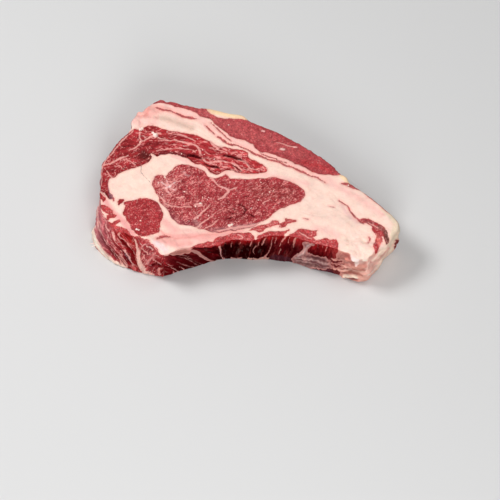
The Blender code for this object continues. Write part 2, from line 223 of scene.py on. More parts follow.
# Thin red lines of meat in the fat: x, y and half width along each
RED_LINES = (
    ((-65, 60.5, 0.4), (-60, 58.5, 0.8), (-55, 58, 0.6), (-50, 56, 0.8), (-45, 53.5, 1.0),
     (-40, 52, 1.0), (-35, 50.5, 0.5)),
    ((-29, 45, 0.4), (-26, 41.5, 0.7), (-22, 37.5, 0.4)),
    ((-25, 47, 0.3), (-20, 42, 0.5), (-15, 36, 0.5), (-10, 31, 0.3)),
    ((-20, 35, 0.5), (-17, 33, 0.8), (-13, 29.5, 0.8), (-10, 28, 0.9), (-6, 28, 0.6), (-2, 26, 0.6),
     (2, 24, 0.8), (5, 21, 0.9), (10, 18.5, 0.9), (15, 16.5, 0.7), (20, 14, 0.7), (25, 12.5, 0.8),
     (30, 9.5, 0.8), (35, 7.5, 0.6), (38, 6, 0.8), (43, 4, 0.7), (48, 1.5, 0.5), (52, 0, 0.6),
     (54, -2, 0.4), (58, -5, 0.3)),
    ((10, 21, 0.3), (20, 16.5, 0.5), (30, 12, 0.3)),
    ((67.5, -20, 0.5), (70, -22, 0.6), (73, -25, 0.5), (75, -28, 0.7), (77, -32, 0.8), (79, -35, 0.7),
     (82, -38, 0.8), (85, -40.5, 0.5)),
    ((70, -5.5, 0.8), (74, -6.8, 1.6), (78, -8.6, 1.3), (82, -11, 0.5)),
    ((86, -14.2, 0.3), (92, -19.8, 0.5), (98, -25.6, 0.5), (103, -31.5, 0.3)),
    ((60.5, -24.8, 0.2), (63.5, -25.4, 0.4)),
    ((42, -36, 0.2), (45, -36.6, 0.35)),
    ((96, -24, 0.2), (101, -28, 0.3)),
    ((-63, -52.8, 0.5), (-60, -51.5, 1.1), (-57.5, -50.4, 1.2), (-54, -50.9, 0.5)),
    ((-84, -48.5, 0.4), (-80, -52, 0.5)),
    ((-104.5, -22, 0.3), (-104.8, -25, 0.5)),
    ((-96, -15, 0.4), (-94.6, -18.6, 0.7), (-93.8, -21, 0.4)),
    ((-97.5, -42, 0.3), (-94, -43, 0.5), (-91, -44.6, 0.3)),
    ((88.5, -51, 0.5), (89.5, -54, 0.6), (87.5, -57, 0.3)),
)

# Pale seams and veins in the meat: x, y and half width along each
VEINS = (
    ((-25, -1, 0.7), (-22, -3, 0.6), (-19, -7, 0.5), (-12, -11, 0.8), (-15, -16, 0.7), (-19, -18.5, 0.6)),
    ((-12, -11, 0.5), (-6, -9, 0.5)),
    ((-20, -21, 0.2), (-25, -22.6, 0.2), (-28, -27, 0.5), (-32, -31.4, 0.8), (-36, -36, 0.8)),
    ((-34.5, -43, 0.5), (-29.3, -38.1, 0.5), (-24.2, -33.8, 0.3), (-19, -28.3, 0.1)),
    ((-29, -44.7, 0.3), (-25.5, -42, 0.5), (-22.8, -40.2, 0.4), (-20.3, -37.4, 0.3)),
    ((-22, -46.5, 0.4), (-12, -44.7, 1.0), (-3, -43.2, 1.2), (6, -41, 1.0), (12, -38.5, 0.5)),
    ((13, -22.5, 0.5), (18, -19.5, 0.3)),
    ((-57.5, -22.5, 0.4), (-54, -24.5, 0.6), (-48, -25.5, 0.4), (-38, -26, 0.4)),
    ((-36, -24.8, 0.7), (-34.4, -23.2, 0.8), (-32, -22.4, 0.9), (-31.2, -23.8, 0.8), (-33, -24.6, 0.7)),
    ((23, 30, 0.3), (31, 27.4, 0.4), (37, 26, 0.6)),
    ((-62.5, -14.5, 0.2), (-60, -17.5, 0.7), (-57.6, -20, 0.6), (-56.8, -21.6, 0.2)),
    ((-44, -17, 0.6), (-49, -17.5, 0.5)),
    ((-104, 10, 0.5), (-99.8, 12, 0.6), (-94, 13.9, 0.6), (-89.9, 17.4, 0.7), (-84, 20, 0.5)),
    ((-94, 11, 0.3), (-89.9, 10, 0.4), (-88.2, 7.5, 0.3)),
    ((-81, 41, 0.4), (-85, 36.5, 0.5), (-90, 30.5, 0.5), (-94.5, 23.5, 0.4), (-99, 17.5, 0.5),
     (-102.5, 11, 0.4), (-103.2, 4, 0.3), (-103.2, -6, 0.4)),
    ((-85.7, 15.9, 0.3), (-80.8, 12.9, 0.4), (-78.3, 11, 0.3)),
    ((-99.8, 7, 0.4), (-97.3, 3.1, 0.5), (-96, 0, 0.5)),
    ((-83.3, 23.8, 0.3), (-79.1, 26.7, 0.5), (-74.2, 31.7, 0.6), (-69.2, 35.6, 0.6), (-65, 37.6, 0.6)),
    ((-65, 37.6, 0.5), (-61.8, 34.6, 0.5), (-56, 33.6, 0.5), (-48.5, 32.7, 0.6), (-41.9, 30.7, 0.6),
     (-36, 28.7, 0.7), (-32.8, 23.8, 0.7), (-31, 19.8, 0.5)),
    ((-64, 23.8, 0.3), (-56.8, 25.3, 0.4), (-48.5, 25.8, 0.4), (-40.3, 24.3, 0.4), (-36, 22.3, 0.3)),
    ((-52, 38.5, 0.3), (-46, 37.6, 0.4), (-40.3, 34.6, 0.5), (-35.3, 31.7, 0.4)),
    ((-75.8, 39.6, 0.5), (-75.8, 34.6, 0.5), (-74.2, 31.7, 0.5)),
    ((-25.4, 31, 0.4), (-21.3, 26.7, 0.5), (-17, 23.8, 0.4), (-12.2, 21.5, 0.3)),
    ((-31.2, 17.9, 0.4), (-27.9, 14.3, 0.6), (-22, 14.2, 0.6), (-16.3, 14.2, 0.4)),
    ((-19.6, 15, 0.3), (-11.3, 14, 0.5), (-5.6, 11, 0.5), (-3, 8, 0.4), (1, 7, 0.3)),
    ((-5.6, 16, 0.3), (-0.6, 13.9, 0.5), (5, 8, 0.5), (10, 8, 0.4)),
    ((-9, 11, 0.3), (-6.4, 7, 0.4), (-3, 3.5, 0.4)),
    ((-105, -11, 0.6), (-102, -14.5, 0.7), (-98, -19, 0.6)),
    ((-5, -49.4, 0.4), (-2, -50.4, 0.5), (-1.7, -52.3, 0.5), (-3.8, -53.3, 0.4)),
    ((39.4, -47.9, 0.4), (41.8, -49.9, 0.5), (44.7, -51.8, 0.5), (47.6, -52.8, 0.3)),
    ((88, -39, 0.3), (91, -41, 0.5), (95, -44, 0.4)),
)

# Splits and pits: x, y and half width along each, and how deep they go
CRACKS = (
    (((-42, 19.5, 0.5), (-39.5, 20.3, 1.2), (-36, 20, 1.2), (-33, 18.2, 0.7), (-30.5, 17.6, 0.3)), 2.2),
    (((-16.3, 19.4, 0.3), (-13, 20.2, 0.9), (-9, 19.6, 1.1), (-6, 18, 0.9), (-2.2, 16.9, 0.3)), 2.2),
    (((-28.7, 12.9, 0.4), (-25, 11, 0.9), (-21, 10.6, 0.9), (-18, 9.5, 0.4)), 1.8),
    (((-10, 12, 0.2), (-6, 9, 0.5), (-2, 6, 0.2)), 0.8),
    (((-4.8, -21.6, 0.2), (-1.2, -23.2, 0.4), (0.8, -26.5, 0.6), (-0.1, -29.5, 0.4),
      (-2.4, -31.4, 0.1)), 1.6),
    (((-12, -28, 0.1), (-9.5, -30, 0.4), (-6, -29.6, 0.2)), 0.8),
    (((-9, -25.5, 0.3), (-7.5, -27, 0.5)), 0.7),
    (((4, -31, 0.3), (6, -33, 0.6)), 0.7),
    (((-14, -36, 0.3), (-11, -34.5, 0.7), (-9, -33.5, 0.3)), 1.0),
    (((22, -24, 0.2), (25, -22, 0.4)), 0.5),
    (((-2, -17, 0.2), (2, -16, 0.4)), 0.5),
)

# Hairline cracks in the fat: route and half width, below 0 where one only shows in parts
HAIRLINES = (
    (((-74.6, 10), (-74.2, 3), (-70.9, -1.8), (-67.5, -5.8)), 0.08),
    (((-90, 8), (-82, 8.4), (-76, 10.6), (-70.5, 13.8)), 0.02),
    (((60, -12), (64, -15), (67.5, -20)), -0.12),
    (((40, -30), (52, -34), (60, -33)), -0.12),
    (((-44, 45), (-34, 40), (-28, 36)), -0.12),
)

# Tints of the fat: route, half width, softness and colour
FAT_TINTS = (
    (((-76, 52), (-60, 62), (-40, 57)), 5, 4, (244, 182, 172)),
    (((-80, 48), (-73, 52), (-70, 59)), 0.6, 2.0, (232, 156, 146)),
    (((-76, 45), (-68, 47), (-63, 52)), 0.4, 2.0, (236, 166, 156)),
    (((-70, 64), (-60, 63.5), (-50, 60), (-42, 57)), 0.8, 1.5, (252, 212, 202)),
    (((-58, 56), (-48, 51), (-38, 46)), 0.8, 1.5, (250, 210, 198)),
    (((-78, 48), (-70, 47), (-66, 47)), 3, 3, PINK_FAT),
    (((-60, 51.5), (-54, 49.8), (-46, 46.2), (-39, 42.5)), 1.4, 3.2, GREY_FAT),
    (((-50, 60), (-35, 53), (-20, 38), (0, 28), (30, 12), (60, -2)), 2.5, 2.5, PINK_FAT),
    (((-58, -52), (-40, -50), (-30, -52), (-5, -46)), 3, 5, (246, 178, 170)),
    (((-56, -46), (-46, -48), (-36, -47)), 0.6, 2.0, (252, 206, 194)),
    (((-54, -58), (-44, -55.6), (-34, -55)), 0.5, 1.6, (252, 200, 190)),
    (((-50, -53), (-42, -52.6), (-30, -50), (-20, -49.6)), 0.3, 1.4, (238, 160, 152)),
    (((-60, -46), (-57, -50), (-52, -52)), 0.3, 1.5, (240, 166, 158)),
    (((-57, -38), (-50, -46)), 2, 4, (248, 186, 178)),
    (((-62, -54), (-48, -58), (-40, -57)), 2, 3, (244, 178, 170)),
    (((-100, -21), (-94, -31), (-88, -37), (-80, -49)), 1.5, 2.5, (240, 170, 166)),
    (((-52, 19), (-30, 8), (-12, 3.5), (16, 1.5)), 1.5, 1.5, PINK_FAT),
    (((20, 0), (45, -6)), 1, 3, PINK_FAT),
    (((60, -4), (78, -16), (98, -32)), 1.5, 4, PINK_FAT),
    (((69, -24), (74, -32), (80, -39)), 0.8, 2, (240, 196, 188)),
    (((50, -44), (66, -50)), 1, 5, PINK_FAT),
    # A painted sheen: a very pale, cool patch at the left corner
    (((-64, -57), (-57, -62)), 1.5, 3, (252, 222, 220)),
    (((-29, 60), (-15, 57), (2, 52)), 4, 1, YELLOW_FAT),
    (((70, 3), (76, -5)), 2.5, 1.5, YELLOW_FAT),
    (((100, -27), (108, -38), (107, -48), (103, -57)), 2.5, 2, RIND),
    (((-100, 19), (-92, 31), (-85, 40)), 1.5, 1, PINK_FAT),
)

# Tints of the meat on the cut face: route, half width, softness and colour
FLESH_TINTS = (
    (((-96.5, -2), (-97.2, -8), (-96, -17)), 1.0, 1.0, PURPLE_GREY),
    (((-24, -45.5), (-10, -43.5), (5, -41)), 1.8, 1.5, (172, 98, 100)),
    (((-36, -38), (-33, -42)), 1.5, 2, (188, 130, 128)),
    (((-60, -4.5), (-57, -6.5), (-55, -7.5), (-52.5, -6), (-50.5, -4.4)), 0.35, 0.6, (250, 222, 218)),
    (((-55, -7.5), (-53, -10), (-50, -11)), 0.3, 0.6, (248, 216, 212)),
    (((-55, -7.5), (-56.5, -10.5), (-54.6, -13.5)), 0.25, 0.6, (246, 212, 208)),
    (((-58.5, -9.4), (-55.6, -9)), 0.3, 0.6, (246, 212, 208)),
    (((-56.2, -2.6), (-55, -7.5)), 0.2, 0.6, (246, 212, 208)),
    (((-55.8, -7.3), (-54, -7.8)), 0.9, 0.7, (252, 228, 224)),
    (((-51, -2), (-49, -3.5), (-46, -3)), 0.1, 0.6, (232, 180, 176)),
    (((-44, 5), (-42.5, 2), (-40, 1.5)), 0.2, 1.2, (214, 160, 160)),
    (((-73, 20), (-69, 17)), 3, 3, (112, 42, 42)),
    (((-60, 21), (-45, 20)), 2, 2, (124, 44, 48)),
    (((-8, -24), (2, -28), (-6, -34)), 4, 6, (150, 50, 55)),
    (((-58, -26), (-51, -37), (-38, -41)), 2, 5, (152, 66, 74)),
    (((10, -12), (30, -14)), 6, 6, (158, 60, 62)),
    (((40, 20), (-10, 44), (-40, 60)), 3, 4, (188, 86, 88)),
    (((12.2, 40.2), (13.8, 39.8)), 0.5, 0.5, (252, 200, 194)),
    (((26.2, 24.7), (28, 24.3)), 0.7, 0.6, (252, 208, 198)),
    (((35.4, 26.3), (37.2, 26.2)), 0.3, 0.5, (250, 206, 200)),
    (((54, 12.2), (56, 11.6)), 0.2, 0.7, (226, 130, 130)),
    (((42, 13), (52, 11), (62, 6)), 1.0, 4.0, (184, 62, 66)),
    (((96, -43), (100.5, -46)), 1.5, 1.5, (158, 84, 80)),
    (((101, -47), (102.5, -57)), 1.8, 1.2, (112, 64, 58)),
    (((94, -50), (96, -57)), 0.8, 1.5, (220, 112, 100)),
    (((85, -37), (91, -39.5)), 1.0, 1.5, (164, 74, 78)),
)

# Pale seams that run down the near side, with their colour; a few short ones are painted highlights, and
# one grey band is a seam with painted shade
SIDE_SEAMS = (
    (((-109.4, -43.7, 0.9), (-110, -48.7, 1.4), (-108.6, -54, 2.0), (-106, -59.5, 2.3),
      (-103, -63.8, 2.2), (-99.8, -67.6, 1.9), (-95.4, -72, 1.6), (-91.8, -74.6, 1.2),
      (-88, -77.2, 1.1), (-84, -79.8, 1.0)), (255, 238, 220)),
    (((-106.5, -12, 0.8), (-107, -24, 1.2), (-107.2, -33, 1.0)), (240, 190, 185)),
    (((-105.6, -33.9, 0.4), (-106, -38.8, 0.5), (-105.4, -42.3, 0.6), (-104.4, -46.2, 0.5),
      (-103.1, -50.2, 0.4), (-101.5, -54.1, 0.4), (-100.2, -58, 0.3)), (232, 176, 172)),
    (((-104.8, -36.9, 0.3), (-103.1, -40.8, 0.5), (-103.5, -43.8, 0.3)), (230, 170, 168)),
    (((-101.1, -40.3, 0.4), (-99.4, -44.7, 0.5), (-98.2, -47, 0.3)), (230, 170, 168)),
    (((-94.9, -47.7, 0.6), (-94, -51.6, 0.5), (-92.4, -56.6, 0.5), (-89.9, -60, 0.4), (-86.6, -63, 0.5),
      (-84.5, -66.4, 0.4), (-82.9, -69.9, 0.4), (-81.6, -72.8, 0.3), (-80.4, -76.3, 0.2)), (244, 190, 182)),
    (((-97.6, -50, 0.2), (-96.4, -55, 0.3), (-94, -60, 0.3), (-90.4, -63.6, 0.2), (-88, -67.4, 0.2)),
     (226, 158, 152)),
    (((-99.6, -52, 0.2), (-98.4, -57, 0.3), (-96, -61, 0.3), (-94, -63.8, 0.2)), (228, 168, 164)),
    (((-76.2, -54.5, 0.2), (-74.4, -58, 0.3), (-72.6, -60.4, 0.2)), (236, 190, 184)),
    (((-74.6, -66, 0.2), (-72.4, -70, 0.4), (-69.4, -73.6, 0.3), (-67.6, -77, 0.2)), (220, 150, 144)),
    (((-66.6, -70, 0.2), (-64, -73, 0.3), (-60.6, -75, 0.2)), (224, 152, 146)),
    (((-88.2, -46.7, 0.4), (-89.9, -48.7, 0.6), (-90.5, -51.1, 0.6), (-88.7, -53.6, 0.5),
      (-86.2, -55.6, 0.3), (-83.7, -59, 0.3), (-82, -62.5, 0.2), (-80.8, -65.9, 0.3), (-79.6, -69.4, 0.3),
      (-78.7, -72.3, 0.2)), (240, 166, 158)),
    (((-78.5, -53.6, 0.5), (-77.7, -58.5, 0.9), (-76.9, -63.5, 1.2), (-76.7, -68.4, 1.3),
      (-76.2, -73.3, 1.5), (-74.2, -78.8, 2.0), (-70.7, -82.9, 1.8), (-66, -84.8, 1.2)), (246, 200, 186)),
    (((-73.8, -61.5, 0.4), (-71.7, -64.9, 0.6), (-69.6, -66.9, 0.4)), (238, 176, 168)),
    (((-96.5, -62.5, 0.3), (-94.4, -65.9, 0.4), (-92.4, -68.4, 0.4), (-89.9, -72.8, 0.4),
      (-87.4, -75.8, 0.3)), (222, 160, 152)),
    (((-93.6, -64.9, 0.3), (-90.7, -68.4, 0.4), (-88.2, -71.8, 0.5), (-85.8, -75.3, 0.5),
      (-84.5, -77.8, 0.4)), (232, 170, 162)),
    (((-89.9, -66.4, 0.2), (-87.4, -69.9, 0.3), (-84.9, -73.3, 0.3), (-83.3, -76.8, 0.2)), (226, 162, 154)),
    (((-86.6, -64.5, 0.3), (-84.1, -68.4, 0.4), (-82.5, -71.4, 0.4), (-81.2, -74.3, 0.3)), (206, 176, 188)),
    (((-72, -58, 0.4), (-69, -60.5, 0.5), (-66, -63, 0.4)), (240, 196, 190)),
    (((-67, -65, 0.3), (-63.5, -68, 0.4), (-60, -70, 0.2)), (214, 150, 146)),
    # Painted highlights on the red lumps near the foot, left of the hollow middle
    (((-61.9, -79.6, 0.5), (-61.4, -84.6, 0.8)), (196, 116, 110)),
    (((-61.6, -75.4, 0.5), (-60.2, -76.2, 0.6)), (230, 152, 142)),
    (((-50.6, -82.6, 0.6), (-51.4, -85.6, 0.9)), (208, 112, 106)),
    (((-57.5, -76.3, 0.2), (-52.4, -78.7, 0.3), (-47.7, -81.2, 0.4), (-45.7, -82.3, 0.4), (-43.4, -81, 0.4),
      (-44.6, -79, 0.4), (-47.2, -77.4, 0.2)), (182, 130, 126)),
    (((-56.5, -73.5, 0.2), (-53.6, -75.7, 0.4), (-51, -76.2, 0.2)), (158, 104, 104)),
    (((-50.3, -72.3, 0.1), (-47.2, -73.5, 0.2), (-44.1, -74.8, 0.3), (-40.5, -76.6, 0.2),
      (-36, -77.6, 0.2)), (158, 102, 102)),
    (((-47.2, -69.5, 0.1), (-42.1, -70.8, 0.2), (-36.9, -73.5, 0.2), (-33.8, -75.6, 0.3),
      (-30.8, -76.2, 0.2)), (148, 92, 94)),
    (((-40.5, -70.2, 0.1), (-35.9, -72, 0.2), (-31.8, -74.4, 0.2), (-29.2, -75.2, 0.2)), (142, 84, 86)),
    (((-52.4, -67.7, 0.1), (-47.2, -67.7, 0.2), (-42.1, -68.4, 0.2), (-38, -70.2, 0.1)), (124, 70, 70)),
    # The grey band: a pale seam darkened with painted shade
    (((-41, -63.2, 0.6), (-35.9, -64.6, 1.1), (-30.8, -68, 1.2), (-26.6, -71, 1.0), (-22.5, -72.4, 0.9),
      (-17.6, -71.2, 0.6)), (138, 98, 94)),
    (((-18.2, -54.3, 0.8), (-18.2, -59.2, 0.6), (-17.4, -63.2, 0.6), (-17, -67.1, 0.4),
      (-15.8, -70.1, 0.4), (-12.9, -71.6, 0.3)), (206, 150, 146)),
    (((5.1, -54.3, 0.3), (4.2, -58.2, 0.4), (3.8, -60.7, 0.2)), (188, 118, 112)),
    (((10, -55.5, 0.3), (8.8, -59.7, 0.2)), (168, 100, 92)),
    (((15, -52.5, 0.3), (13.3, -55.8, 0.4), (12.1, -59.7, 0.2)), (188, 112, 104)),
    (((19.9, -52.3, 0.2), (19.1, -57.3, 0.3), (18.5, -61.2, 0.3), (16.6, -65.1, 0.5),
      (14.1, -69.5, 0.7)), (150, 92, 86)),
    (((29.9, -49.4, 0.5), (28.2, -52.3, 0.5), (26.5, -55.8, 0.4), (24.9, -60.2, 0.2)), (208, 126, 118)),
    (((25.7, -62.2, 0.3), (24.1, -67.1, 0.2)), (140, 84, 80)),
    (((37.7, -51.5, 0.5), (35.6, -53.8, 0.6), (34.8, -57.3, 0.6), (34.4, -61.2, 0.2)), (200, 122, 112)),
    (((60.8, -56.3, 0.3), (59.2, -58.7, 0.4), (57.5, -64.2, 0.2)), (206, 124, 116)),
    (((2.2, -70.3, 0.6), (8, -70.8, 0.4), (13.3, -70.4, 0.9), (17.9, -69.8, 0.6)), (172, 144, 130)),
    (((26, -71.2, 0.5), (30, -72.5, 0.6)), (176, 140, 146)),
    (((-10, -70, 0.3), (-6, -70.4, 0.4), (-2, -70, 0.2)), (120, 84, 78)),
    (((8, -60, 0.3), (6, -64, 0.4), (7, -67, 0.2)), (96, 50, 44)),
    (((-9, -56, 0.2), (-10, -59, 0.3), (-9.4, -62, 0.2)), (140, 78, 74)),
    (((-3, -55.5, 0.2), (-4, -58, 0.3)), (170, 96, 90)),
    (((22.6, -52, 0.2), (22, -55, 0.3), (21.4, -58, 0.2)), (196, 110, 104)),
    (((33, -50, 0.2), (31.6, -53, 0.3), (31, -57, 0.2)), (202, 112, 106)),
    (((52.5, -55, 0.2), (51.6, -58, 0.3), (51.8, -62, 0.2)), (176, 84, 84)),
    (((56.4, -54.6, 0.2), (55.4, -58, 0.3), (55.6, -61, 0.2)), (186, 96, 94)),
)

# Fat of the near side: outline and colour
SIDE_PATCHES = (
    (((41, -56.8), (46.8, -57.3), (49.7, -58.7), (46, -61.2), (44.3, -64.7), (47.6, -67.1),
      (53.8, -69.6), (57.5, -69.1), (60, -72), (62, -76), (65, -79.4), (64, -86), (53.8, -84),
      (43.5, -80), (35, -76), (32.6, -73), (35.2, -68.1), (39.4, -65.1), (41.4, -62.2)), SHADED_FAT),
    (((65.6, -54), (72, -54), (90, -58), (120, -20), (120, -95), (62, -95), (62, -77), (61, -71),
      (65.4, -70.1), (66.3, -65), (65.6, -60)), (210, 140, 126)),
    # The fat's front lip, pinker where it turns down towards the wall, with painted shade
    (((-57, -66), (-48, -61.5), (-42, -60), (-37, -60.5), (-39, -63), (-48, -65.5), (-57, -69)),
     (240, 178, 166)),
)

# Flaps and dark patches that lie over the near side, some of them painted shade and shadow: outline, colour
# and how far each stands out
SIDE_FLAPS = (
    (((65, -66.4), (68, -65), (71, -67.2), (74, -66.8), (75.6, -69.8), (78, -73), (79, -75.5), (76, -78),
      (70, -77.5), (66, -76.5), (65.4, -72)), (184, 116, 106), -0.7),
    (((71.5, -69.5), (75, -69), (76.5, -72), (75, -74.2), (72, -73.2)), (222, 140, 126), 0.4),
    (((59, -71), (62.5, -71.6), (66, -72.8), (69.5, -73.2), (67, -74.6), (63, -74)), (112, 40, 44), -0.4),
    (((60, -75), (64, -75.6), (69, -77.4), (65, -77.6)), (120, 46, 50), -0.4),
    (((76, -76.5), (81, -75.5), (85, -76), (86, -83), (80, -83.5), (74, -81.5)), (208, 144, 128), 0.0),
    (((75, -65.7), (79, -66.5), (82.5, -68.5), (83.5, -72), (81, -74.5), (79.2, -76), (77.5, -73),
      (76, -69)), (250, 222, 214), 1.0),
    # Painted shade beside the white flap
    (((81.5, -70.5), (85.5, -70), (86, -73), (84, -74.5), (81.5, -74)), (212, 166, 154), -0.3),
    (((82.8, -66), (85.5, -64.5), (88, -67), (88, -71), (85, -72), (83, -69.5)), (255, 226, 208), 1.2),
    (((76, -62.8), (79, -63.6), (82, -66.8), (80.4, -66.6), (77.5, -64.6)), (222, 140, 116), -0.8),
    (((70, -83.6), (75, -84), (80.7, -84.2), (81, -86), (76, -86), (71.5, -86)), (252, 216, 196), 0.9),
    # Painted shadow under the cream lip
    (((73, -86.4), (80, -86), (80.5, -88), (74, -88)), (130, 76, 72), -0.9),
    # Painted shade: a dark red-brown band along the foot under the fat
    (((58.5, -79.4), (63, -79.2), (68, -81.6), (66, -84.6), (59, -83.6)), (112, 44, 46), -0.4),
    (((84, -80), (88, -79), (90, -84), (88, -91), (82, -89.5), (81, -86)), (236, 176, 160), 0.3),
    (((91.8, -62), (95.5, -60.5), (94.4, -64), (93.3, -67.5), (92.4, -65)), (186, 66, 68), -0.2),
    (((103, -48), (112, -36), (116, -40), (112, -80), (104, -76), (102.5, -60)), RIND, 0.3),
    (((107, -55), (109.6, -53.5), (111, -58), (109.6, -64), (107.4, -64)), (140, 68, 64), -0.3),
    # Painted shade on the fat's lower lip, where it turns under towards the dark wall
    (((-54, -66.2), (-48, -63.6), (-42, -62.4), (-38, -64), (-42, -66.5), (-50, -67.6)),
     (176, 112, 102), -0.2),
    (((44.5, -79.5), (50, -78.8), (57, -80), (63, -81.5), (62, -86), (50, -84)), (92, 44, 54), -0.5),
    (((18, -69), (26, -68.5), (33, -71), (33, -75), (18, -73.5)), (80, 34, 42), -0.2),
    (((-39, -61.4), (-34, -57), (-27, -55), (-20, -53.5), (-12, -51), (-10, -54.5), (-15, -57.5),
      (-21, -59.8), (-29, -60.6)), (186, 56, 60), 0.2),
)

# Fine pale and dark streaks over the tail's fat, and a painted highlight down its front corner: route, half
# width, softness and colour
SIDE_STREAKS = (
    (((91, -62), (91, -84)), 2.0, 4.0, (236, 184, 170)),
    (((99, -57), (98, -78)), 3.0, 4.0, (244, 214, 194)),
    (((88.5, -84), (93, -79.5), (99, -73), (104, -66)), 0.4, 0.7, (246, 214, 198)),
    (((88, -79), (92, -75.5), (98, -68), (103, -61)), 0.5, 0.7, (226, 170, 156)),
    (((88, -74), (92, -70.5), (97, -64.5), (101, -59.5)), 0.4, 0.7, (254, 226, 208)),
    (((89, -70), (92, -67), (95.5, -62.5)), 0.4, 0.7, (230, 176, 164)),
    (((93, -82), (98, -76.5), (103, -70)), 0.3, 0.7, (216, 180, 160)),
    (((89.6, -72.6), (90.2, -73.2)), 0.4, 0.7, (206, 114, 112)),
    (((36, -69.5), (44, -70.5), (52, -73), (60, -75)), 0.45, 0.7, (192, 152, 147)),
    (((37, -72), (46, -74), (54, -77.2), (62, -79)), 0.4, 0.7, (183, 142, 137)),
    (((38, -67.5), (42, -64.5), (44, -60.5), (46.5, -58.5)), 0.6, 0.7, (208, 168, 164)),
    (((40, -75.5), (46, -77.5), (53, -79)), 0.35, 0.7, (170, 127, 124)),
    (((38, -70.8), (46, -72.2), (54, -75), (60, -77.4)), 0.4, 0.7, (112, 62, 66)),
    (((42, -66.5), (47, -69), (54, -72), (59, -72.5)), 0.5, 0.7, (116, 66, 68)),
    (((48, -75.2), (55, -77.6), (62, -80)), 0.3, 0.7, (122, 72, 74)),
    (((60, -73), (64, -74.6), (70, -75.4)), 0.5, 0.7, (128, 52, 52)),
    (((62, -76.6), (68, -78.4), (74, -79.4)), 0.4, 0.7, (136, 66, 62)),
    (((66, -71), (71, -72.6), (74, -75)), 0.5, 0.7, (150, 78, 70)),
    (((64, -81), (72, -82.2), (80, -83.4)), 0.3, 0.7, (158, 92, 84)),
    (((64, -78.6), (74, -80.2), (84, -81.6)), 0.35, 0.7, (232, 178, 162)),
    (((74, -78.4), (80, -79.6), (86, -80)), 0.3, 0.7, (178, 110, 98)),
    (((68, -80.6), (76, -82), (84, -84)), 0.3, 0.7, (176, 108, 96)),
    (((68, -71.5), (72, -73), (75, -76.5)), 0.4, 0.7, (226, 158, 146)),
    (((69, -76), (72.5, -77.5), (76, -79)), 0.35, 0.7, (232, 176, 162)),
    (((70, -65.5), (75, -69.5)), 0.4, 0.7, (176, 96, 90)),
    # A painted highlight down the tail's front corner
    (((87, -72), (87.8, -76), (86.8, -81)), 0.3, 0.7, (246, 200, 184)),
)

# Deep grooves between the strands of the near side: x, y and half width, depth and colour, a dark red with
# painted shade in the groove
SIDE_GROOVES = (
    (((-93.2, -49, 0.5), (-91.5, -51.6, 0.8), (-88.7, -55.6, 1.1), (-86.6, -58.5, 1.3), (-84.1, -62, 1.2),
      (-82, -65.9, 1.1), (-80.4, -69.9, 0.8), (-79.2, -73.3, 0.5)), 1.6, (122, 14, 18)),
    (((-86, -50, 0.6), (-84, -53.1, 1.2), (-82.2, -55.6, 1.6), (-80.2, -58.5, 1.3), (-79.4, -62.5, 0.7)),
     1.2, (158, 34, 34)),
    (((-106.4, -45.2, 0.5), (-104.9, -49.7, 1.0), (-102.9, -53.6, 1.0), (-101.3, -57.6, 0.6)), 0.7,
     (128, 50, 58)),
    (((-98.6, -62.5, 0.4), (-96.5, -65.9, 0.8), (-94.4, -68.4, 0.8), (-92.4, -70.9, 0.4)), 0.8,
     (112, 34, 40)),
    (((-90.7, -62.5, 0.4), (-87.4, -66, 0.7), (-85.2, -70.4, 0.6), (-83.3, -73.3, 0.4)), 0.7,
     (104, 26, 34)),
    (((-80, -73.3, 0.5), (-78.7, -77.3, 0.9), (-77.1, -80.2, 0.5)), 0.6, (138, 30, 34)),
    (((-69, -77, 0.5), (-64.5, -75.5, 1.2), (-60, -77, 0.6)), 0.8, (100, 10, 16)),
    (((-60, -81, 0.6), (-55, -81.5, 1.4), (-51, -82, 0.6)), 0.6, (108, 12, 18)),
    (((-36, -61.8, 0.6), (-28, -63, 1.2), (-21, -62, 0.8)), 1.0, (64, 4, 10)),
    (((-28, -66.5, 0.4), (-23, -68.5, 1.2), (-19.5, -67.5, 0.5)), 0.8, (92, 8, 14)),
)

# Colours of the near side's meat: x, then the colour at its rim and at its foot; the foot's colours carry
# painted shade, near black under the hollow middle
SIDE_FLESH = (
    (-112, (200, 124, 130), (192, 120, 124)), (-104, (200, 110, 116), (182, 98, 104)),
    (-97, (192, 82, 86), (164, 64, 70)), (-90, (188, 54, 56), (146, 36, 42)),
    (-84, (182, 36, 38), (128, 22, 28)), (-78, (190, 60, 64), (160, 46, 50)),
    (-70, (188, 74, 78), (170, 66, 70)), (-60, (176, 62, 64), (124, 18, 24)),
    (-52, (112, 28, 32), (86, 8, 14)), (-40, (110, 26, 30), (68, 5, 9)),
    (-28, (176, 48, 50), (66, 3, 7)), (-19, (154, 26, 30), (48, 0, 3)),
    (-14, (154, 22, 26), (38, 0, 2)), (0, (138, 16, 20), (34, 0, 1)),
    (14, (144, 20, 24), (40, 0, 2)), (24, (152, 26, 28), (84, 8, 14)),
    (34, (140, 20, 24), (60, 3, 8)), (46, (154, 28, 32), (78, 6, 12)),
    (58, (140, 24, 28), (80, 8, 12)), (66, (160, 52, 50), (140, 52, 50)),
    (112, (170, 80, 76), (150, 70, 64)),
)

# How the strands of the left corner sweep to the right as they go down: y and sideways run
SWEEP_Y = (-80, -77, -73, -69, -65, -61, -57.5, -53, -48, -40)
SWEEP_RUN = (20.5, 18.5, 16, 13.5, 11, 8, 5, 2.2, 0.5, 0)

# Where the near side's strands change their lean, from the left corner to the tail
STRAND_ZONES = (-77, -58, -17, 66)

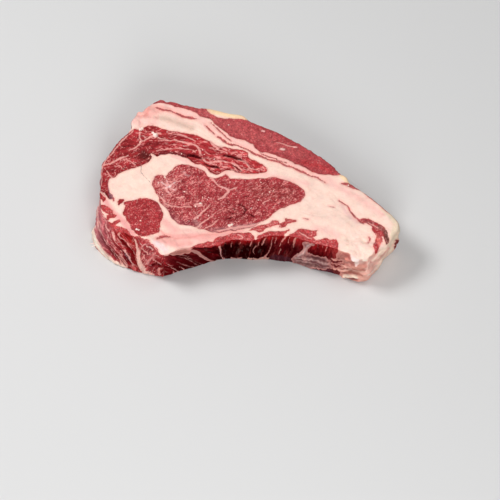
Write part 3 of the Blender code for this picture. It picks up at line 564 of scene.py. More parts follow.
# White crumbs of fat on the cut face, which partly stand in as painted glints: x, y and size
CRUMBS = (
    (-65, 37.5, 2.2), (-66.5, 39.0, 1.3), (-76, 41.5, 2.4), (-74.2, 42.4, 1.5), (-76, 31.5, 1.0),
    (-57.5, 0, 1.3), (-31.6, -22.4, 1.1), (-35.4, -24.8, 0.9),
    (-11, -41.5, 2.0), (-9.6, -41.0, 1.3), (-43.5, -12.5, 1.2), (-74.5, -37.5, 1.0), (-77.5, -45, 1.1),
    (-75.8, -45.6, 0.8), (74.5, -7, 0.6), (-51, 34.5, 0.6), (-22, 16.5, 0.7), (-56.5, -9, 0.6),
    (-53, -13, 0.5), (-30.5, -17.5, 0.6), (11.5, -4.5, 0.5), (20.5, -12, 0.5), (-12, 45.5, 0.6),
)
SMALL_CRUMBS_AND_GLINTS = 45

# Loose threads of fat at the side: x, y, height and radius along each
WISPS = (
    ((-105.0, -38.4, 2.6, 0.7), (-107.6, -37.9, 2.6, 0.55), (-109.6, -37.0, 1.9, 0.4),
     (-111.6, -36.6, 1.7, 0.15)),
    ((-106.5, -39.6, 3.0, 0.5), (-108.6, -39.4, 2.9, 0.4), (-110.4, -39.8, 2.2, 0.12)),
)
WISP_SIDES = 8
WISP_STEP = 0.6

# Spacing of the points along a curve before it is measured, and how many points are handled at once
ROUTE_SPACING = 1.0
SPAN_STEPS = 16
AT_ONCE = 6000

# How far from a thin line a pattern still knows its distance
LINE_REACH = 3.0

# How far outlines are shifted by noise, and the length of its waves
FACE_WOBBLE = (0.85, 3.6)
SIDE_WOBBLE = (0.45, 3.0)
UNDERSIDE_WOBBLE = (2.0, 14.0)

# Directions of the faint ridges in the fat and of the grain in the eye
FAT_FLOW = (0.78, -0.62)
EYE_GRAIN = (0.8, 0.6)

# Bumps of the cut face: height, length and seed of each layer
MEAT_BUMPS = ((0.30, 2.6, 41), (0.30, 7.0, 44))
FAT_BUMPS = ((0.18, 3.2, 47), (0.55, 11.0, 51))
LUMPY_BUMPS = ((0.8, 5.0, 57), (0.35, 1.8, 58))

# Where the fat of the cut face is lumpy: x from and to, y from and to, and how lumpy it is
LUMPY_FAT = ((-56, -66, 40, 46, 1.0), (50, 66, -42, -54, 1.0), (-36, -46, -44, -52, 0.7))

# Cap, along x: how light its fibres are, how long its grain is, and where its marbling grows
CAP_SHADE_X = (-100, -60, -35, 0)
CAP_SHADE = (0.84, 0.92, 1.08, 1.22)
CAP_STRETCH_X = (-95, -75, -45)
CAP_STRETCH = (1.5, 2.2, 3.2)
CAP_MARBLED = (-45, -10)

# Flecked part of the eye: its middle, outer and inner radius; what counts as well marbled, and where
# along x such meat gets still more flecks
FLECKED = (-55, -8, 11.0, 3.0)
WELL_MARBLED = 0.7
MORE_FLECKS = (-20, -55)

# Near side: where its left corner ends, colours between its seams, and the least green of a fat flap
CORNER_END = -58
WALL_FAT = (140, 44, 46)
CORNER_FAT = (238, 178, 170)
STRAND_BROWN = (158, 66, 62)
LEAST_FAT_GREEN = 70
SIDE_MEAT_DEPTH = 3.0

# Near side, along x: its dark hollow middle, where the tail's crumpled fat begins and ends, and how
# stringy the fat is; and the heights between which the foot's colours turn into the rim's
HOLLOW_MIDDLE = (-24, -10, 50, 64)
TAIL_BEGINS = (34, 44)
TAIL_ENDS = (86, 91)
STRINGY_X = (60, 70, 86, 90)
STRINGY_FAT = (0.75, 0.4, 0.4, 0.15)
RIM_COLOUR_FROM = (17, 32)

# Far side, along x: its patch of fat, the yellow part of that, and where the fat of the tail and of
# the left begins and is complete; and the heights between which the patch does
FAR_PATCH = (-33, -27, 0, 6)
FAR_YELLOW = (-36, -26, 0, 10)
FAR_TAIL = (56, 70)
FAR_LEFT = (-66, -90)
FAR_PATCH_HEIGHT = (8, 24)

# Far side: colours of its meat and of its fat
FAR_RED = (150, 58, 62)
FAR_FAT = (245, 208, 192)

# How far a rim point faces the far side where that side begins and where it is complete
FAR_SIDE_FROM = (0.25, 0.55)

# Layer of noise that the underside's grain takes
UNDERSIDE_GRAIN = 40.0

# Heights between which the side's relief fades out, at its rim and at its foot
RIM_FADE = (33.2, 30.5)
FOOT_FADE = (0.1, 1.8)

# Marbling at which meat has no flecks and edges are calm, and at which both are in full
UNMARBLED = (-1.0, -0.2)

# Noise in the beef: waves per millimetre, detail and roughness of each kind
BEEF_NOISE = {
    "broad": (0.16, 3.0, 0.55), "medium": (0.5, 4.0, 0.62), "fine": (1.4, 3.0, 0.65),
    "speck": (3.4, 2.0, 0.6), "jagged": (0.9, 4.0, 0.6), "flecks": (0.85, 5.0, 0.7),
    "threads": (0.42, 2.0, 0.5), "thread_places": (0.33, 2.0, 0.5), "pits": (0.7, 4.0, 0.7),
    "blush": (0.24, 5.0, 0.68),
}

# Where noise goes from its dark to its light end
CLOUD = (0.3, 0.7)

# Colours inside the meat and the fat
FLECK_PINK = (232, 156, 150)
THREAD_PINK = (234, 160, 154)
VEIN_PINK = (238, 172, 164)
PIT_RED = (96, 16, 22)
# Painted shade inside splits and cracks
CRACK_SHADE_RED = (72, 8, 14)
BLUSH = (248, 184, 172)
STAINED_FAT = (240, 160, 150)

# Crumbs: radius of one of size 1, how uneven it is, spread of their sizes, how deep each large one
# sits for its size, the noise on them, and how far below the thickness the cut face may lie
CRUMB_SIZE = 0.75
CRUMB_UNEVENNESS = 2.6
CRUMB_SPREAD = (0.65, 1.25)
SMALL_CRUMB_SIZES = (0.25, 0.5)
CRUMB_DEPTH = 0.2
CRUMB_LUMPS_PER_METRE = 900.0
CRUMB_CLOUDS_PER_METRE = 600.0
FACE_DEPTH = 2.5

# Stage, in metres: floor, sky, and name, place, width and watts of each lamp
FLOOR_HALF = 3.0
FLOOR_DROP = 0.0002
FLOOR_GREY = 0.66
WORLD_STRENGTH = 0.18
LAMPS = (
    ("left_key", (-0.70, 0.20, 1.05), 0.45, 9.5),
    ("right_top", (0.55, 0.15, 1.20), 0.6, 3.4),
    ("near_fill", (0.05, -1.20, 0.70), 0.6, 11.0),
)

# Camera: plan place in millimetres that it looks at, distance in metres, and lens in millimetres
CAMERA_AIM = (3.6, -41.2, 0.0)
CAMERA_DISTANCE = 4.0
LENS_LENGTH = 400.0
SENSOR_WIDTH = 36.0


def rgb(colour):
    """Linear red, green and blue from a colour given in the usual 0 to 255 steps."""
    share = np.asarray(colour, float) / 255.0
    return np.where(share <= 0.04045, share / 12.92, ((share + 0.055) / 1.055) ** 2.4)


def painted(colours, colour, share):
    """The colours with another laid over them, at each point as strongly as its share."""
    share = share[:, None]
    return colours * (1.0 - share) + colour * share


# Curves, distances and noise

def smooth_step(low, high, values):
    """0 below low, 1 above high, and a smooth rise between them."""
    share = np.clip((np.asarray(values, float) - low) / (high - low), 0.0, 1.0)
    return share * share * (3.0 - 2.0 * share)


def window(begin, full, fading, end, values):
    """0 outside begin and end, 1 from full to fading, and smooth flanks."""
    return smooth_step(begin, full, values) * smooth_step(end, fading, values)


def curve_through(knots, closed):
    """Many points along a smooth curve through the knots; each column is followed alike."""
    knots = np.array(knots, float)
    if closed:
        before, after = np.roll(knots, 1, 0), np.roll(knots, -2, 0)
        start, end = knots, np.roll(knots, -1, 0)
    else:
        longer = np.vstack([2 * knots[0] - knots[1], knots, 2 * knots[-1] - knots[-2]])
        before, start, end, after = longer[:-3], longer[1:-2], longer[2:-1], longer[3:]
    share = np.linspace(0.0, 1.0, SPAN_STEPS, endpoint=False)[None, :, None]
    before, start, end, after = (part[:, None, :] for part in (before, start, end, after))
    spans = 0.5 * (
        2 * start + (end - before) * share
        + (2 * before - 5 * start + 4 * end - after) * share**2
        + (3 * start - before - 3 * end + after) * share**3
    )
    last = knots[:1] if closed else knots[-1:]
    return np.vstack([spans.reshape(-1, knots.shape[1]), last])


def curve(knots, spacing, closed=False):
    """Evenly spaced points of a smooth curve. A closed one doesn't repeat its first point."""
    points = curve_through(knots, closed)
    steps = np.linalg.norm(np.diff(points[:, :2], axis=0), axis=1)
    along = np.concatenate([[0.0], np.cumsum(steps)])
    count = max(8 if closed else 2, round(along[-1] / spacing) + (0 if closed else 1))
    wanted = np.linspace(0.0, along[-1], count, endpoint=not closed)
    return np.stack([np.interp(wanted, along, column) for column in points.T], axis=1)


def in_pieces(work, points):
    """Runs work on some of the points at a time, to save memory."""
    parts = [work(points[i:i + AT_ONCE]) for i in range(0, len(points), AT_ONCE)]
    return np.concatenate(parts) if parts else np.zeros(0)


def stroke_field(points, route):
    """How far each point lies inside a line of changing half width, in mm; negative outside it."""
    starts, ends = route[:-1], route[1:]
    run = ends[:, :2] - starts[:, :2]
    length = np.maximum((run * run).sum(-1), 1e-9)

    def work(some):
        offset = some[:, None, :] - starts[None, :, :2]
        share = np.clip((offset * run).sum(-1) / length, 0.0, 1.0)
        away = np.linalg.norm(offset - share[..., None] * run, axis=-1)
        width = starts[:, 2] + (ends[:, 2] - starts[:, 2]) * share
        return (width - away).max(axis=1)

    return in_pieces(work, points)


def loop_field(points, loop):
    """Distance to a closed loop in mm, positive inside it."""
    ends = np.roll(loop, -1, 0)
    outline = np.column_stack([np.vstack([loop, loop[:1]]), np.zeros(len(loop) + 1)])

    def crossings(some):
        x, y = some[:, :1], some[:, 1:2]
        crosses = (loop[:, 1] > y) != (ends[:, 1] > y)
        rise = ends[:, 1] - loop[:, 1]
        rise = np.where(rise == 0, 1e-9, rise)
        at = loop[:, 0] + (y - loop[:, 1]) * (ends[:, 0] - loop[:, 0]) / rise
        return (crosses & (x < at)).sum(axis=1) % 2 == 1

    inside = in_pieces(crossings, points)
    away = -stroke_field(points, outline)
    return np.where(inside, away, -away)


def cut_off(field_of, points, shape, reach):
    """The shape's field at the points near it, cut off at reach both ways, and -reach elsewhere."""
    low, high = shape[:, :2].min(axis=0) - reach, shape[:, :2].max(axis=0) + reach
    close = ((points > low) & (points < high)).all(axis=1)
    field = np.full(len(points), -reach)
    field[close] = np.clip(field_of(points[close], shape), -reach, reach)
    return field


def stroke(points, knots, reach=REACH):
    """How far the points lie inside a smooth line through knots of x, y and half width."""
    return cut_off(stroke_field, points, curve(knots, ROUTE_SPACING), reach)


def patch(points, knots, reach=REACH):
    """How far the points lie inside a smooth outline through knots of x and y."""
    return cut_off(loop_field, points, curve(knots, ROUTE_SPACING, closed=True), reach)


def slow_noise(x, y, z, length):
    """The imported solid's own noise, from about -1 to 1, with features of that length."""
    return np.array([
        noise.noise(Vector(place)) for place in np.stack([x, y, z], axis=-1) / length
    ])


def steady(a, b, seed):
    """A steady random number from 0 to 1 for each pair of whole numbers."""
    value = np.sin(a * 127.1 + b * 311.7 + seed * 74.7) * 43758.5453
    return value - np.floor(value)


def ripple(x, y, length, seed):
    """Smooth noise from -1 to 1 with features of that length."""
    x, y = x / length, y / length
    left, low = np.floor(x), np.floor(y)
    across, up = x - left, y - low
    across, up = across * across * (3 - 2 * across), up * up * (3 - 2 * up)
    near = steady(left, low, seed) * (1 - across) + steady(left + 1, low, seed) * across
    far = steady(left, low + 1, seed) * (1 - across) + steady(left + 1, low + 1, seed) * across
    return 2.0 * (near * (1 - up) + far * up) - 1.0


def rough(x, y, length, seed):
    """Three layers of ripple, each half as long and half as high as the last."""
    return (
        ripple(x, y, length, seed) + 0.5 * ripple(x, y, length / 2, seed + 1)
        + 0.25 * ripple(x, y, length / 4, seed + 2)
    ) / 1.75


def bumps(x, y, layers):
    """Layers of rough noise added up, each given as height, length and seed."""
    return sum(height * rough(x, y, length, seed) for height, length, seed in layers)


def turned(x, y, direction, stretch):
    """Places measured across a direction and along it, where features come out longer by stretch."""
    run, rise = direction
    return run * y - rise * x, (run * x + rise * y) / stretch


def bundles(across, along, width, length, seed):
    """Bundles of fibre: distance to the edge of the bundle in mm, and its own number from 0 to 1."""
    u, v = across / width, along / length
    near = np.full(u.shape, 9.0)
    second = near.copy()
    own = np.zeros(u.shape)
    for du in (-1, 0, 1):
        for dv in (-1, 0, 1):
            a, b = np.floor(u) + du, np.floor(v) + dv
            away = np.hypot(a + steady(a, b, seed) - u, b + steady(a, b, seed + 1) - v)
            closer = away < near
            second = np.where(closer, near, np.minimum(second, away))
            own = np.where(closer, steady(a, b, seed + 2), own)
            near = np.where(closer, away, near)
    return (second - near) * 0.5 * width, own


def relief(fibres, rise, groove, groove_width):
    """Height of bundles of fibre: each lies at its own level, with a groove along its edge."""
    edge, own = fibres
    return rise * (own - 0.5) - groove * smooth_step(groove_width, 0.0, edge)


# Patterns

def tinted(colours, points, tints):
    """The colours with each tint laid over them along its route."""
    for route, half_width, soft, colour in tints:
        knots = [(x, y, half_width) for x, y in route]
        inside = stroke(points, knots, half_width + soft + 1.0)
        colours = painted(colours, rgb(colour), smooth_step(-soft, soft * 0.5, inside))
    return colours


def wobbled(points, amount, length):
    """The points shifted by a little noise, so that no outline stays smooth."""
    x, y = points.T
    return points + amount * np.column_stack([rough(x, y, length, 11), rough(x, y, length, 21)])


def plain_fat(count):
    """A pattern that is plain fat everywhere."""
    return {
        "meat": np.full(count, -REACH), "vein": np.full(count, -REACH), "crack": np.full(count, -REACH),
        "marbling": np.zeros(count), "flesh": np.tile(rgb(EYE_RED), (count, 1)),
        "fat": np.tile(rgb(CREAM), (count, 1)), "lift": np.zeros(count),
        "stringy": np.zeros(count), "grain": np.zeros((count, 3)),
    }


def set_grain(pattern, inside, across, along, layer):
    """Turns the grain inside a muscle to run along its fibres, in a layer of noise of its own."""
    grain = np.column_stack([across, along, np.full(len(across), layer)])
    pattern["grain"] = np.where((inside > 0.0)[:, None], grain, pattern["grain"])


def shade_flesh(pattern, shade, mask):
    """Makes the flesh under the mask lighter or darker."""
    pattern["flesh"] *= (1.0 + (shade - 1.0) * mask)[:, None]


def eye_fibres(pattern, x, y, inside):
    """Wide, faint bundles in the eye, and flecks that lie along its grain."""
    fibres = bundles(
        x + 2 * rough(x, y, length=6, seed=3), y + 2 * rough(x, y, length=6, seed=4),
        width=6.5, length=8.0, seed=9,
    )
    mask = smooth_step(0.0, 1.0, inside)
    shade_flesh(pattern, 0.90 + 0.20 * fibres[1], mask)
    pattern["lift"] += mask * relief(fibres, rise=0.35, groove=0.2, groove_width=0.8)
    across, along = turned(x, y, EYE_GRAIN, 1.5)
    set_grain(pattern, inside, 1.2 * across, along, layer=0.0)


def cap_fibres(pattern, x, y, inside):
    """Split bundles that run round the fat kernel, darker at the left and redder at the right."""
    kernel_x, kernel_y, wider, radius = KERNEL
    side, up = (x - kernel_x) / wider, y - kernel_y
    across = np.hypot(side, up) + 2.2 * rough(x, y, length=11.0, seed=31)
    along = np.arctan2(side, up) * radius
    coarse = bundles(across, along, width=4.6, length=15.0, seed=5)
    fine = bundles(across, along, width=1.9, length=7.0, seed=7)
    edge, own = coarse
    mask = smooth_step(0.0, 1.0, inside)
    pattern["lift"] += mask * relief(coarse, rise=1.1, groove=0.7, groove_width=1.1)
    pattern["lift"] += mask * relief(fine, rise=0.5, groove=0.3, groove_width=0.5)
    # Bundles differ in tone at random; the darkening along their edges is painted shade in the grooves
    # between them
    shade = 0.92 + 0.24 * own + 0.18 * fine[1] - 0.22 * smooth_step(0.7, 0.0, edge)
    shade *= np.interp(x, CAP_SHADE_X, CAP_SHADE)
    shade_flesh(pattern, shade, mask)
    pale = -0.22 - edge - 3.0 * smooth_step(0.65, 0.5, own) - 3.0 * (1.0 - mask)
    pattern["vein"] = np.maximum(pattern["vein"], pale)
    pattern["marbling"] += 0.6 * mask * smooth_step(*CAP_MARBLED, x)
    stretch = np.interp(x, CAP_STRETCH_X, CAP_STRETCH)
    set_grain(pattern, inside, across, along / stretch, layer=9.0)


def flank_fibres(pattern, x, y, inside):
    """A finer grain than the other muscles have."""
    set_grain(pattern, inside, 1.7 * x, 1.7 * y, layer=5.0)


FIBRES = {"eye": eye_fibres, "cap": cap_fibres, "flank": flank_fibres}


def lay_muscles(pattern, points, moved):
    """Sinks each muscle into the fat, with its colour, marbling and fibres, and the thin red lines."""
    x, y = points.T
    pattern["grain"] = np.column_stack([x, y, np.zeros(len(x))])
    for name, (outline, depth, colour, marbling) in MUSCLES.items():
        inside = patch(moved, outline)
        nearest = inside > pattern["meat"]
        pattern["meat"] = np.maximum(pattern["meat"], inside)
        pattern["flesh"][nearest] = rgb(colour)
        pattern["marbling"][nearest] = marbling
        pattern["lift"] -= depth * smooth_step(-0.4, 2.2, inside)
        if name in FIBRES:
            FIBRES[name](pattern, x, y, inside)
    for knots in RED_LINES:
        line = stroke(moved, knots)
        pattern["flesh"][line > pattern["meat"]] = rgb(THREAD_RED)
        pattern["meat"] = np.maximum(pattern["meat"], line)
        pattern["lift"] -= 0.35 * smooth_step(-0.8, 0.6, line)


def draw_veins_and_cracks(pattern, moved):
    """Raises the veins a little, and sinks the splits, the pits and the hairline cracks."""
    for knots in VEINS:
        line = stroke(moved, knots, LINE_REACH)
        pattern["vein"] = np.maximum(pattern["vein"], line)
        pattern["lift"] += 0.25 * smooth_step(-0.8, 0.4, line)
    for knots, depth in CRACKS:
        line = stroke(moved, knots, LINE_REACH)
        pattern["crack"] = np.maximum(pattern["crack"], line)
        pattern["lift"] -= depth * smooth_step(-1.1, 0.7, line)
    for route, half_width in HAIRLINES:
        line = stroke(moved, [(x, y, 0.0) for x, y in route], LINE_REACH)
        pattern["crack"] = np.maximum(pattern["crack"], line + half_width)
        pattern["lift"] -= 0.2 * smooth_step(-0.7, 0.0, line)


def roughen_face(pattern, x, y):
    """Adds the bumps of the meat and of the fat, the lumpy places and the knobs."""
    is_meat = smooth_step(-0.3, 0.5, pattern["meat"])
    is_fat = 1.0 - is_meat
    flow = rough(*turned(x, y, FAT_FLOW, 4.0), length=3.0, seed=55)
    lumpy = np.maximum.reduce([
        strength * smooth_step(x_from, x_to, x) * smooth_step(y_from, y_to, y)
        for x_from, x_to, y_from, y_to, strength in LUMPY_FAT
    ])
    pattern["lift"] += is_meat * bumps(x, y, MEAT_BUMPS)
    pattern["lift"] += is_fat * (bumps(x, y, FAT_BUMPS) + 0.14 * flow)
    pattern["lift"] += is_fat * lumpy * bumps(x, y, LUMPY_BUMPS)
    for knob_x, knob_y, radius, rise in KNOBS:
        away = np.hypot(x - knob_x, y - knob_y)
        pattern["lift"] += rise * smooth_step(radius, 0.3 * radius, away)


def face_pattern(points):
    """The cut face's muscles, veins, cracks and colours, and how far each point stands up."""
    pattern = plain_fat(len(points))
    moved = wobbled(points, *FACE_WOBBLE)
    x, y = points.T
    lay_muscles(pattern, points, moved)
    draw_veins_and_cracks(pattern, moved)
    middle_x, middle_y, outer, inner = FLECKED
    flecked = smooth_step(outer, inner, np.hypot(x - middle_x, y - middle_y))
    well_marbled = pattern["marbling"] > WELL_MARBLED
    pattern["marbling"] += 0.7 * flecked + 0.25 * smooth_step(*MORE_FLECKS, x) * well_marbled
    pattern["flesh"] = tinted(pattern["flesh"], points, FLESH_TINTS)
    pattern["fat"] = tinted(pattern["fat"], points, FAT_TINTS)
    roughen_face(pattern, x, y)
    return pattern


def strand_coordinates(plan, height, along_rim):
    """Places on the near side measured across its strands and along them."""
    x, y = plan.T
    swept = x - np.interp(y, SWEEP_Y, SWEEP_RUN)
    zones = [x < limit for limit in STRAND_ZONES]
    across = np.select(zones, [swept, x - 0.6 * y, y + 0.38 * x, x - 0.22 * y], height)
    along = np.select(zones, [y, y + 0.6 * x, x, y], along_rim)
    return across, along


def near_side_flesh(x, height, own, fine_own):
    """Colours of the near side's meat: by place, with painted shade darkening it towards the foot, by
    strand, and brownish on a few strands.
    """
    places, rims, shaded_feet = zip(*SIDE_FLESH)
    foot, rim = (
        np.stack([np.interp(x, places, column) for column in np.array(stops, float).T], axis=1)
        for stops in (shaded_feet, rims)
    )
    flesh = rgb(painted(foot, rim, smooth_step(*RIM_COLOUR_FROM, height)))
    flesh *= (0.62 + 0.46 * own + 0.30 * fine_own)[:, None]
    few = window(*HOLLOW_MIDDLE, x) * smooth_step(0.70, 0.9, fine_own)
    return painted(flesh, rgb(STRAND_BROWN), 0.16 * few)


def cut_grooves(pattern, moved):
    """Cuts the deep grooves between the near side's strands and paints shade into them."""
    for knots, depth, colour in SIDE_GROOVES:
        line = stroke(moved, knots, LINE_REACH)
        inside = smooth_step(-0.7, 0.5, line)
        pattern["flesh"] = painted(pattern["flesh"], rgb(colour), inside)
        pattern["lift"] -= depth * smooth_step(-1.0, 0.8, line)
        pattern["vein"] -= 3.0 * inside


def lay_side_fat(pattern, moved, left):
    """Lays patches, seams, flaps and streaks over the near side; how far inside the fat each point is."""
    pattern["fat"] = painted(rgb(WALL_FAT), rgb(CORNER_FAT), left)
    fatty = np.full(len(moved), -REACH)
    for knots, colour in SIDE_PATCHES:
        inside = patch(moved, knots)
        pattern["fat"][inside > fatty] = rgb(colour)
        fatty = np.maximum(fatty, inside)
        pattern["lift"] += 0.5 * smooth_step(-0.5, 2.5, inside)
    for knots, colour in SIDE_SEAMS:
        line = stroke(moved, knots, LINE_REACH)
        pattern["fat"][line > fatty] = rgb(colour)
        fatty = np.maximum(fatty, line)
        pattern["lift"] += 0.5 * smooth_step(-0.9, 0.6, line)
    for knots, colour, rise in SIDE_FLAPS:
        inside = patch(moved, knots)
        share = smooth_step(-0.35, 0.35, inside)
        if colour[1] < LEAST_FAT_GREEN:
            pattern["flesh"] = painted(pattern["flesh"], rgb(colour), share)
            fatty = np.minimum(fatty, -inside)
        else:
            pattern["fat"] = painted(pattern["fat"], rgb(colour), share)
            fatty = np.maximum(fatty, inside)
        pattern["lift"] += rise * smooth_step(-0.5, 0.8, inside)
    pattern["fat"] = tinted(pattern["fat"], moved, SIDE_STREAKS)
    return fatty


def crumple_tail(pattern, x, y, calm):
    """Crumples the fat at the near side of the tail and paints shade into its hollows."""
    tail = smooth_step(*TAIL_BEGINS, x) * (1.0 - 0.75 * smooth_step(*TAIL_ENDS, x)) * calm
    crumpled = rough(x + 2.0 * rough(x, y, length=6.0, seed=81), 1.7 * y, length=5.0, seed=77)
    pattern["lift"] += tail * (1.9 * crumpled + 0.7 * rough(x, 2.0 * y, length=2.0, seed=78))
    # Painted shade in the crumpled hollows
    hollow_shade = smooth_step(0.3, -0.7, crumpled)
    pattern["fat"] *= (1.0 - 0.42 * tail * hollow_shade + 0.12 * tail)[:, None]


def near_side_pattern(plan, height, along_rim):
    """The near side: strands of muscle, pale seams, deep grooves and the fat of the tail."""
    pattern = plain_fat(len(plan))
    moved = wobbled(plan, *SIDE_WOBBLE)
    x, y = plan.T
    left = smooth_step(-54.0, -60.0, x)
    across, along = strand_coordinates(plan, height, along_rim)
    bent = across + 1.2 * rough(x, y, length=8.0, seed=61)
    coarse = bundles(bent, along, width=3.0, length=22.0, seed=15)
    fine = bundles(bent, along, width=1.3, length=12.0, seed=19)
    edge, own = coarse

    pattern["flesh"] = near_side_flesh(x, height, own, fine[1])
    pattern["lift"] = relief(coarse, rise=1.2, groove=0.9, groove_width=0.9)
    pattern["lift"] += relief(fine, rise=0.4, groove=0.35, groove_width=0.5)
    pale_edges = (0.05 - edge) - 0.6 * smooth_step(0.7, 0.5, own)
    pattern["vein"] = np.where(x < CORNER_END, pale_edges, -1.0)
    cut_grooves(pattern, moved)
    fatty = lay_side_fat(pattern, moved, left)

    pattern["meat"] = np.minimum(SIDE_MEAT_DEPTH, -fatty)
    calm = smooth_step(-0.2, 1.5, fatty)
    streak = 0.5 * rough(across, along / 6.0, length=2.0, seed=67)
    pattern["fat"] = pattern["fat"] * (1.0 + 0.10 * streak)[:, None]
    pattern["lift"] = pattern["lift"] * (1.0 - 0.5 * calm) + 0.8 * streak * calm
    pattern["lift"] += 0.25 * rough(x, y, length=1.8, seed=71)
    crumple_tail(pattern, x, y, calm)

    stringy_meat = 0.06 + 0.6 * left + 0.35 * smooth_step(-92, -100, x)
    stringy_fat = np.interp(x, STRINGY_X, STRINGY_FAT)
    pattern["stringy"] = np.where(fatty > 0.0, stringy_fat, stringy_meat)
    pattern["marbling"] = np.where(x < CORNER_END, 0.0, -1.0)
    coarser = 1.0 + smooth_step(64, 70, x)
    pattern["grain"] = np.column_stack([across / coarser, along / 7.0, 0.3 * height])
    return pattern


def far_side_fat(x, height, along_rim, slanted):
    """How far inside the far side's fat each point is, and how yellow that fat is from 0 to 1."""
    wavy_x = x + 5.0 * rough(1.3 * height, along_rim, length=9.0, seed=39)
    ragged_x = x - 0.35 * height + 7.0 * rough(along_rim, 0.6 * height, length=10.0, seed=35)
    ragged_height = height + 5.0 * rough(along_rim, 0.5 * height, length=7.0, seed=43)
    fatty = 2.4 * rough(slanted, 1.7 * height, length=15.0, seed=27)
    fatty += 1.3 * rough(slanted, 1.4 * height, length=4.5, seed=29) - 0.9
    fatty += 3.5 * window(*FAR_PATCH, wavy_x) * smooth_step(*FAR_PATCH_HEIGHT, ragged_height)
    fatty += 4.0 * smooth_step(*FAR_TAIL, ragged_x) + 0.5 * smooth_step(*FAR_LEFT, x)
    return fatty, window(*FAR_YELLOW, wavy_x)


def far_side_pattern(places, along_rim):
    """The far side, the slice's trimmed outer face: meat under thin silver skin and patches of fat."""
    x, _, height = places.T
    pattern = plain_fat(len(places))
    slanted = along_rim + 0.6 * height
    fibres = bundles(along_rim + 0.2 * height, height, width=3.4, length=18.0, seed=23)
    edge, own = fibres
    fatty, yellow = far_side_fat(x, height, along_rim, slanted)
    stain = 0.10 * rough(slanted, 1.4 * height, length=9.0, seed=33)
    stain += 0.08 * rough(slanted, height, length=2.8, seed=34)
    pattern["flesh"] = rgb(FAR_RED) * (0.75 + 0.5 * own)[:, None]
    pattern["meat"] = np.clip(-fatty, -3.0, 3.0)
    pattern["fat"] = painted(rgb(FAR_FAT), rgb(YELLOW_FAT), yellow) * (1.0 + stain)[:, None]
    pattern["vein"] = (0.2 - edge) - 0.4 * smooth_step(0.6, 0.4, own)
    streak = rough(along_rim, height / 4.0, length=2.4, seed=37)
    pattern["lift"] = relief(fibres, rise=0.5, groove=0.45, groove_width=0.9) + 0.3 * streak
    pattern["lift"] *= 0.5 + 0.5 * smooth_step(-1.0, 1.0, -fatty)
    pattern["marbling"] = np.full(len(places), 0.3)
    pattern["stringy"] = 0.35 + 0.35 * smooth_step(0.5, -0.5, fatty)
    pattern["grain"] = np.column_stack([slanted, height / 3.5, np.zeros(len(x))])
    return pattern


def blended(first, second, share):
    """Two patterns mixed: the first where share is 0, the second where it is 1."""
    mixed = {}
    for name, values in first.items():
        weight = share[:, None] if values.ndim == 2 else share
        if name == "grain":
            weight = np.round(weight)
        mixed[name] = values * (1.0 - weight) + second[name] * weight
    return mixed


# The steak's form

def outward_normals(loop):
    """Directions out of the loop, evened out over NORMAL_REACH so that they never cross."""
    reach = max(1, round(NORMAL_REACH / RIM_SPACING))
    along = np.roll(loop, -reach, 0) - np.roll(loop, reach, 0)
    normals = np.stack([along[:, 1], -along[:, 0]], axis=1)
    return normals / np.linalg.norm(normals, axis=1, keepdims=True)


def face_height(points, lift):
    """Height of the cut face: the slice's thickness, its slow swells and the pattern's own lift."""
    x, y = points.T
    height = SLICE_THICKNESS + SWELL_HEIGHT * slow_noise(x, y, np.zeros(len(x)), SWELL_LENGTH)
    for swell_x, swell_y, radius, rise in SWELLS:
        away = np.linalg.norm(points - (swell_x, swell_y), axis=1)
        height += rise * (1.0 - smooth_step(0.0, radius, away))
    return height + lift


def ring_levels():
    """Each ring from the foot to the rim: share of the way up, inset, and rise above that share."""
    turns = np.linspace(0.0, math.pi / 2, ROUND_STEPS, endpoint=False)
    foot = [(0.0, LOWER_ROUND * (1 - math.sin(a)), LOWER_ROUND * (1 - math.cos(a))) for a in turns]
    rim = [(1.0, UPPER_ROUND * (1 - math.sin(a)), UPPER_ROUND * (math.cos(a) - 1)) for a in turns]
    side = [
        (share, 0.0, LOWER_ROUND * (1 - share) - UPPER_ROUND * share)
        for share in np.linspace(0.0, 1.0, SIDE_RINGS)
    ]
    return foot + side + rim[::-1]


def side_rings(rim, normals):
    """The side's points, ring by ring, before their fine relief, and how free each is to move."""
    x, y, foot_out, swell = rim.T
    inner = rim[:, :2] - normals * UPPER_ROUND
    top = face_height(inner, face_pattern(inner)["lift"])
    rings, freedom = [], []
    for share, inset, rise in ring_levels():
        height = share * top + rise
        middle = 4.0 * share * (1.0 - share)
        strands = slow_noise(x + STRAND_LEAN * height, y, height / STRAND_STRETCH, STRAND_WIDTH)
        out = foot_out * (1.0 - share) ** FOOT_CURVE + swell * middle - inset
        out += STRAND_HEIGHT * strands * (RIM_STRANDS + (1.0 - RIM_STRANDS) * middle)
        places = np.column_stack([rim[:, :2] + normals * out[:, None], height])
        for *centre, radius, push in LUMPS:
            near = 1.0 - smooth_step(0.0, radius, np.linalg.norm(places - centre, axis=1))
            places[:, :2] += normals * (push * near)[:, None]
        rings.append(places)
        freedom.append(smooth_step(*RIM_FADE, height) * smooth_step(*FOOT_FADE, height))
    return np.array(rings), np.array(freedom)


def points_inside(loop, spacing):
    """A triangular pattern of points inside the loop, kept clear of its edge."""
    (left, front), (right, back) = loop.min(axis=0), loop.max(axis=0)
    columns = np.arange(left, right, spacing)
    rows = np.arange(front, back, spacing * math.sqrt(3) / 2)
    x, y = np.meshgrid(columns, rows)
    x[1::2] += spacing / 2
    pattern = np.column_stack([x.ravel(), y.ravel()])
    return pattern[loop_field(pattern, loop) > EDGE_GAP * spacing]


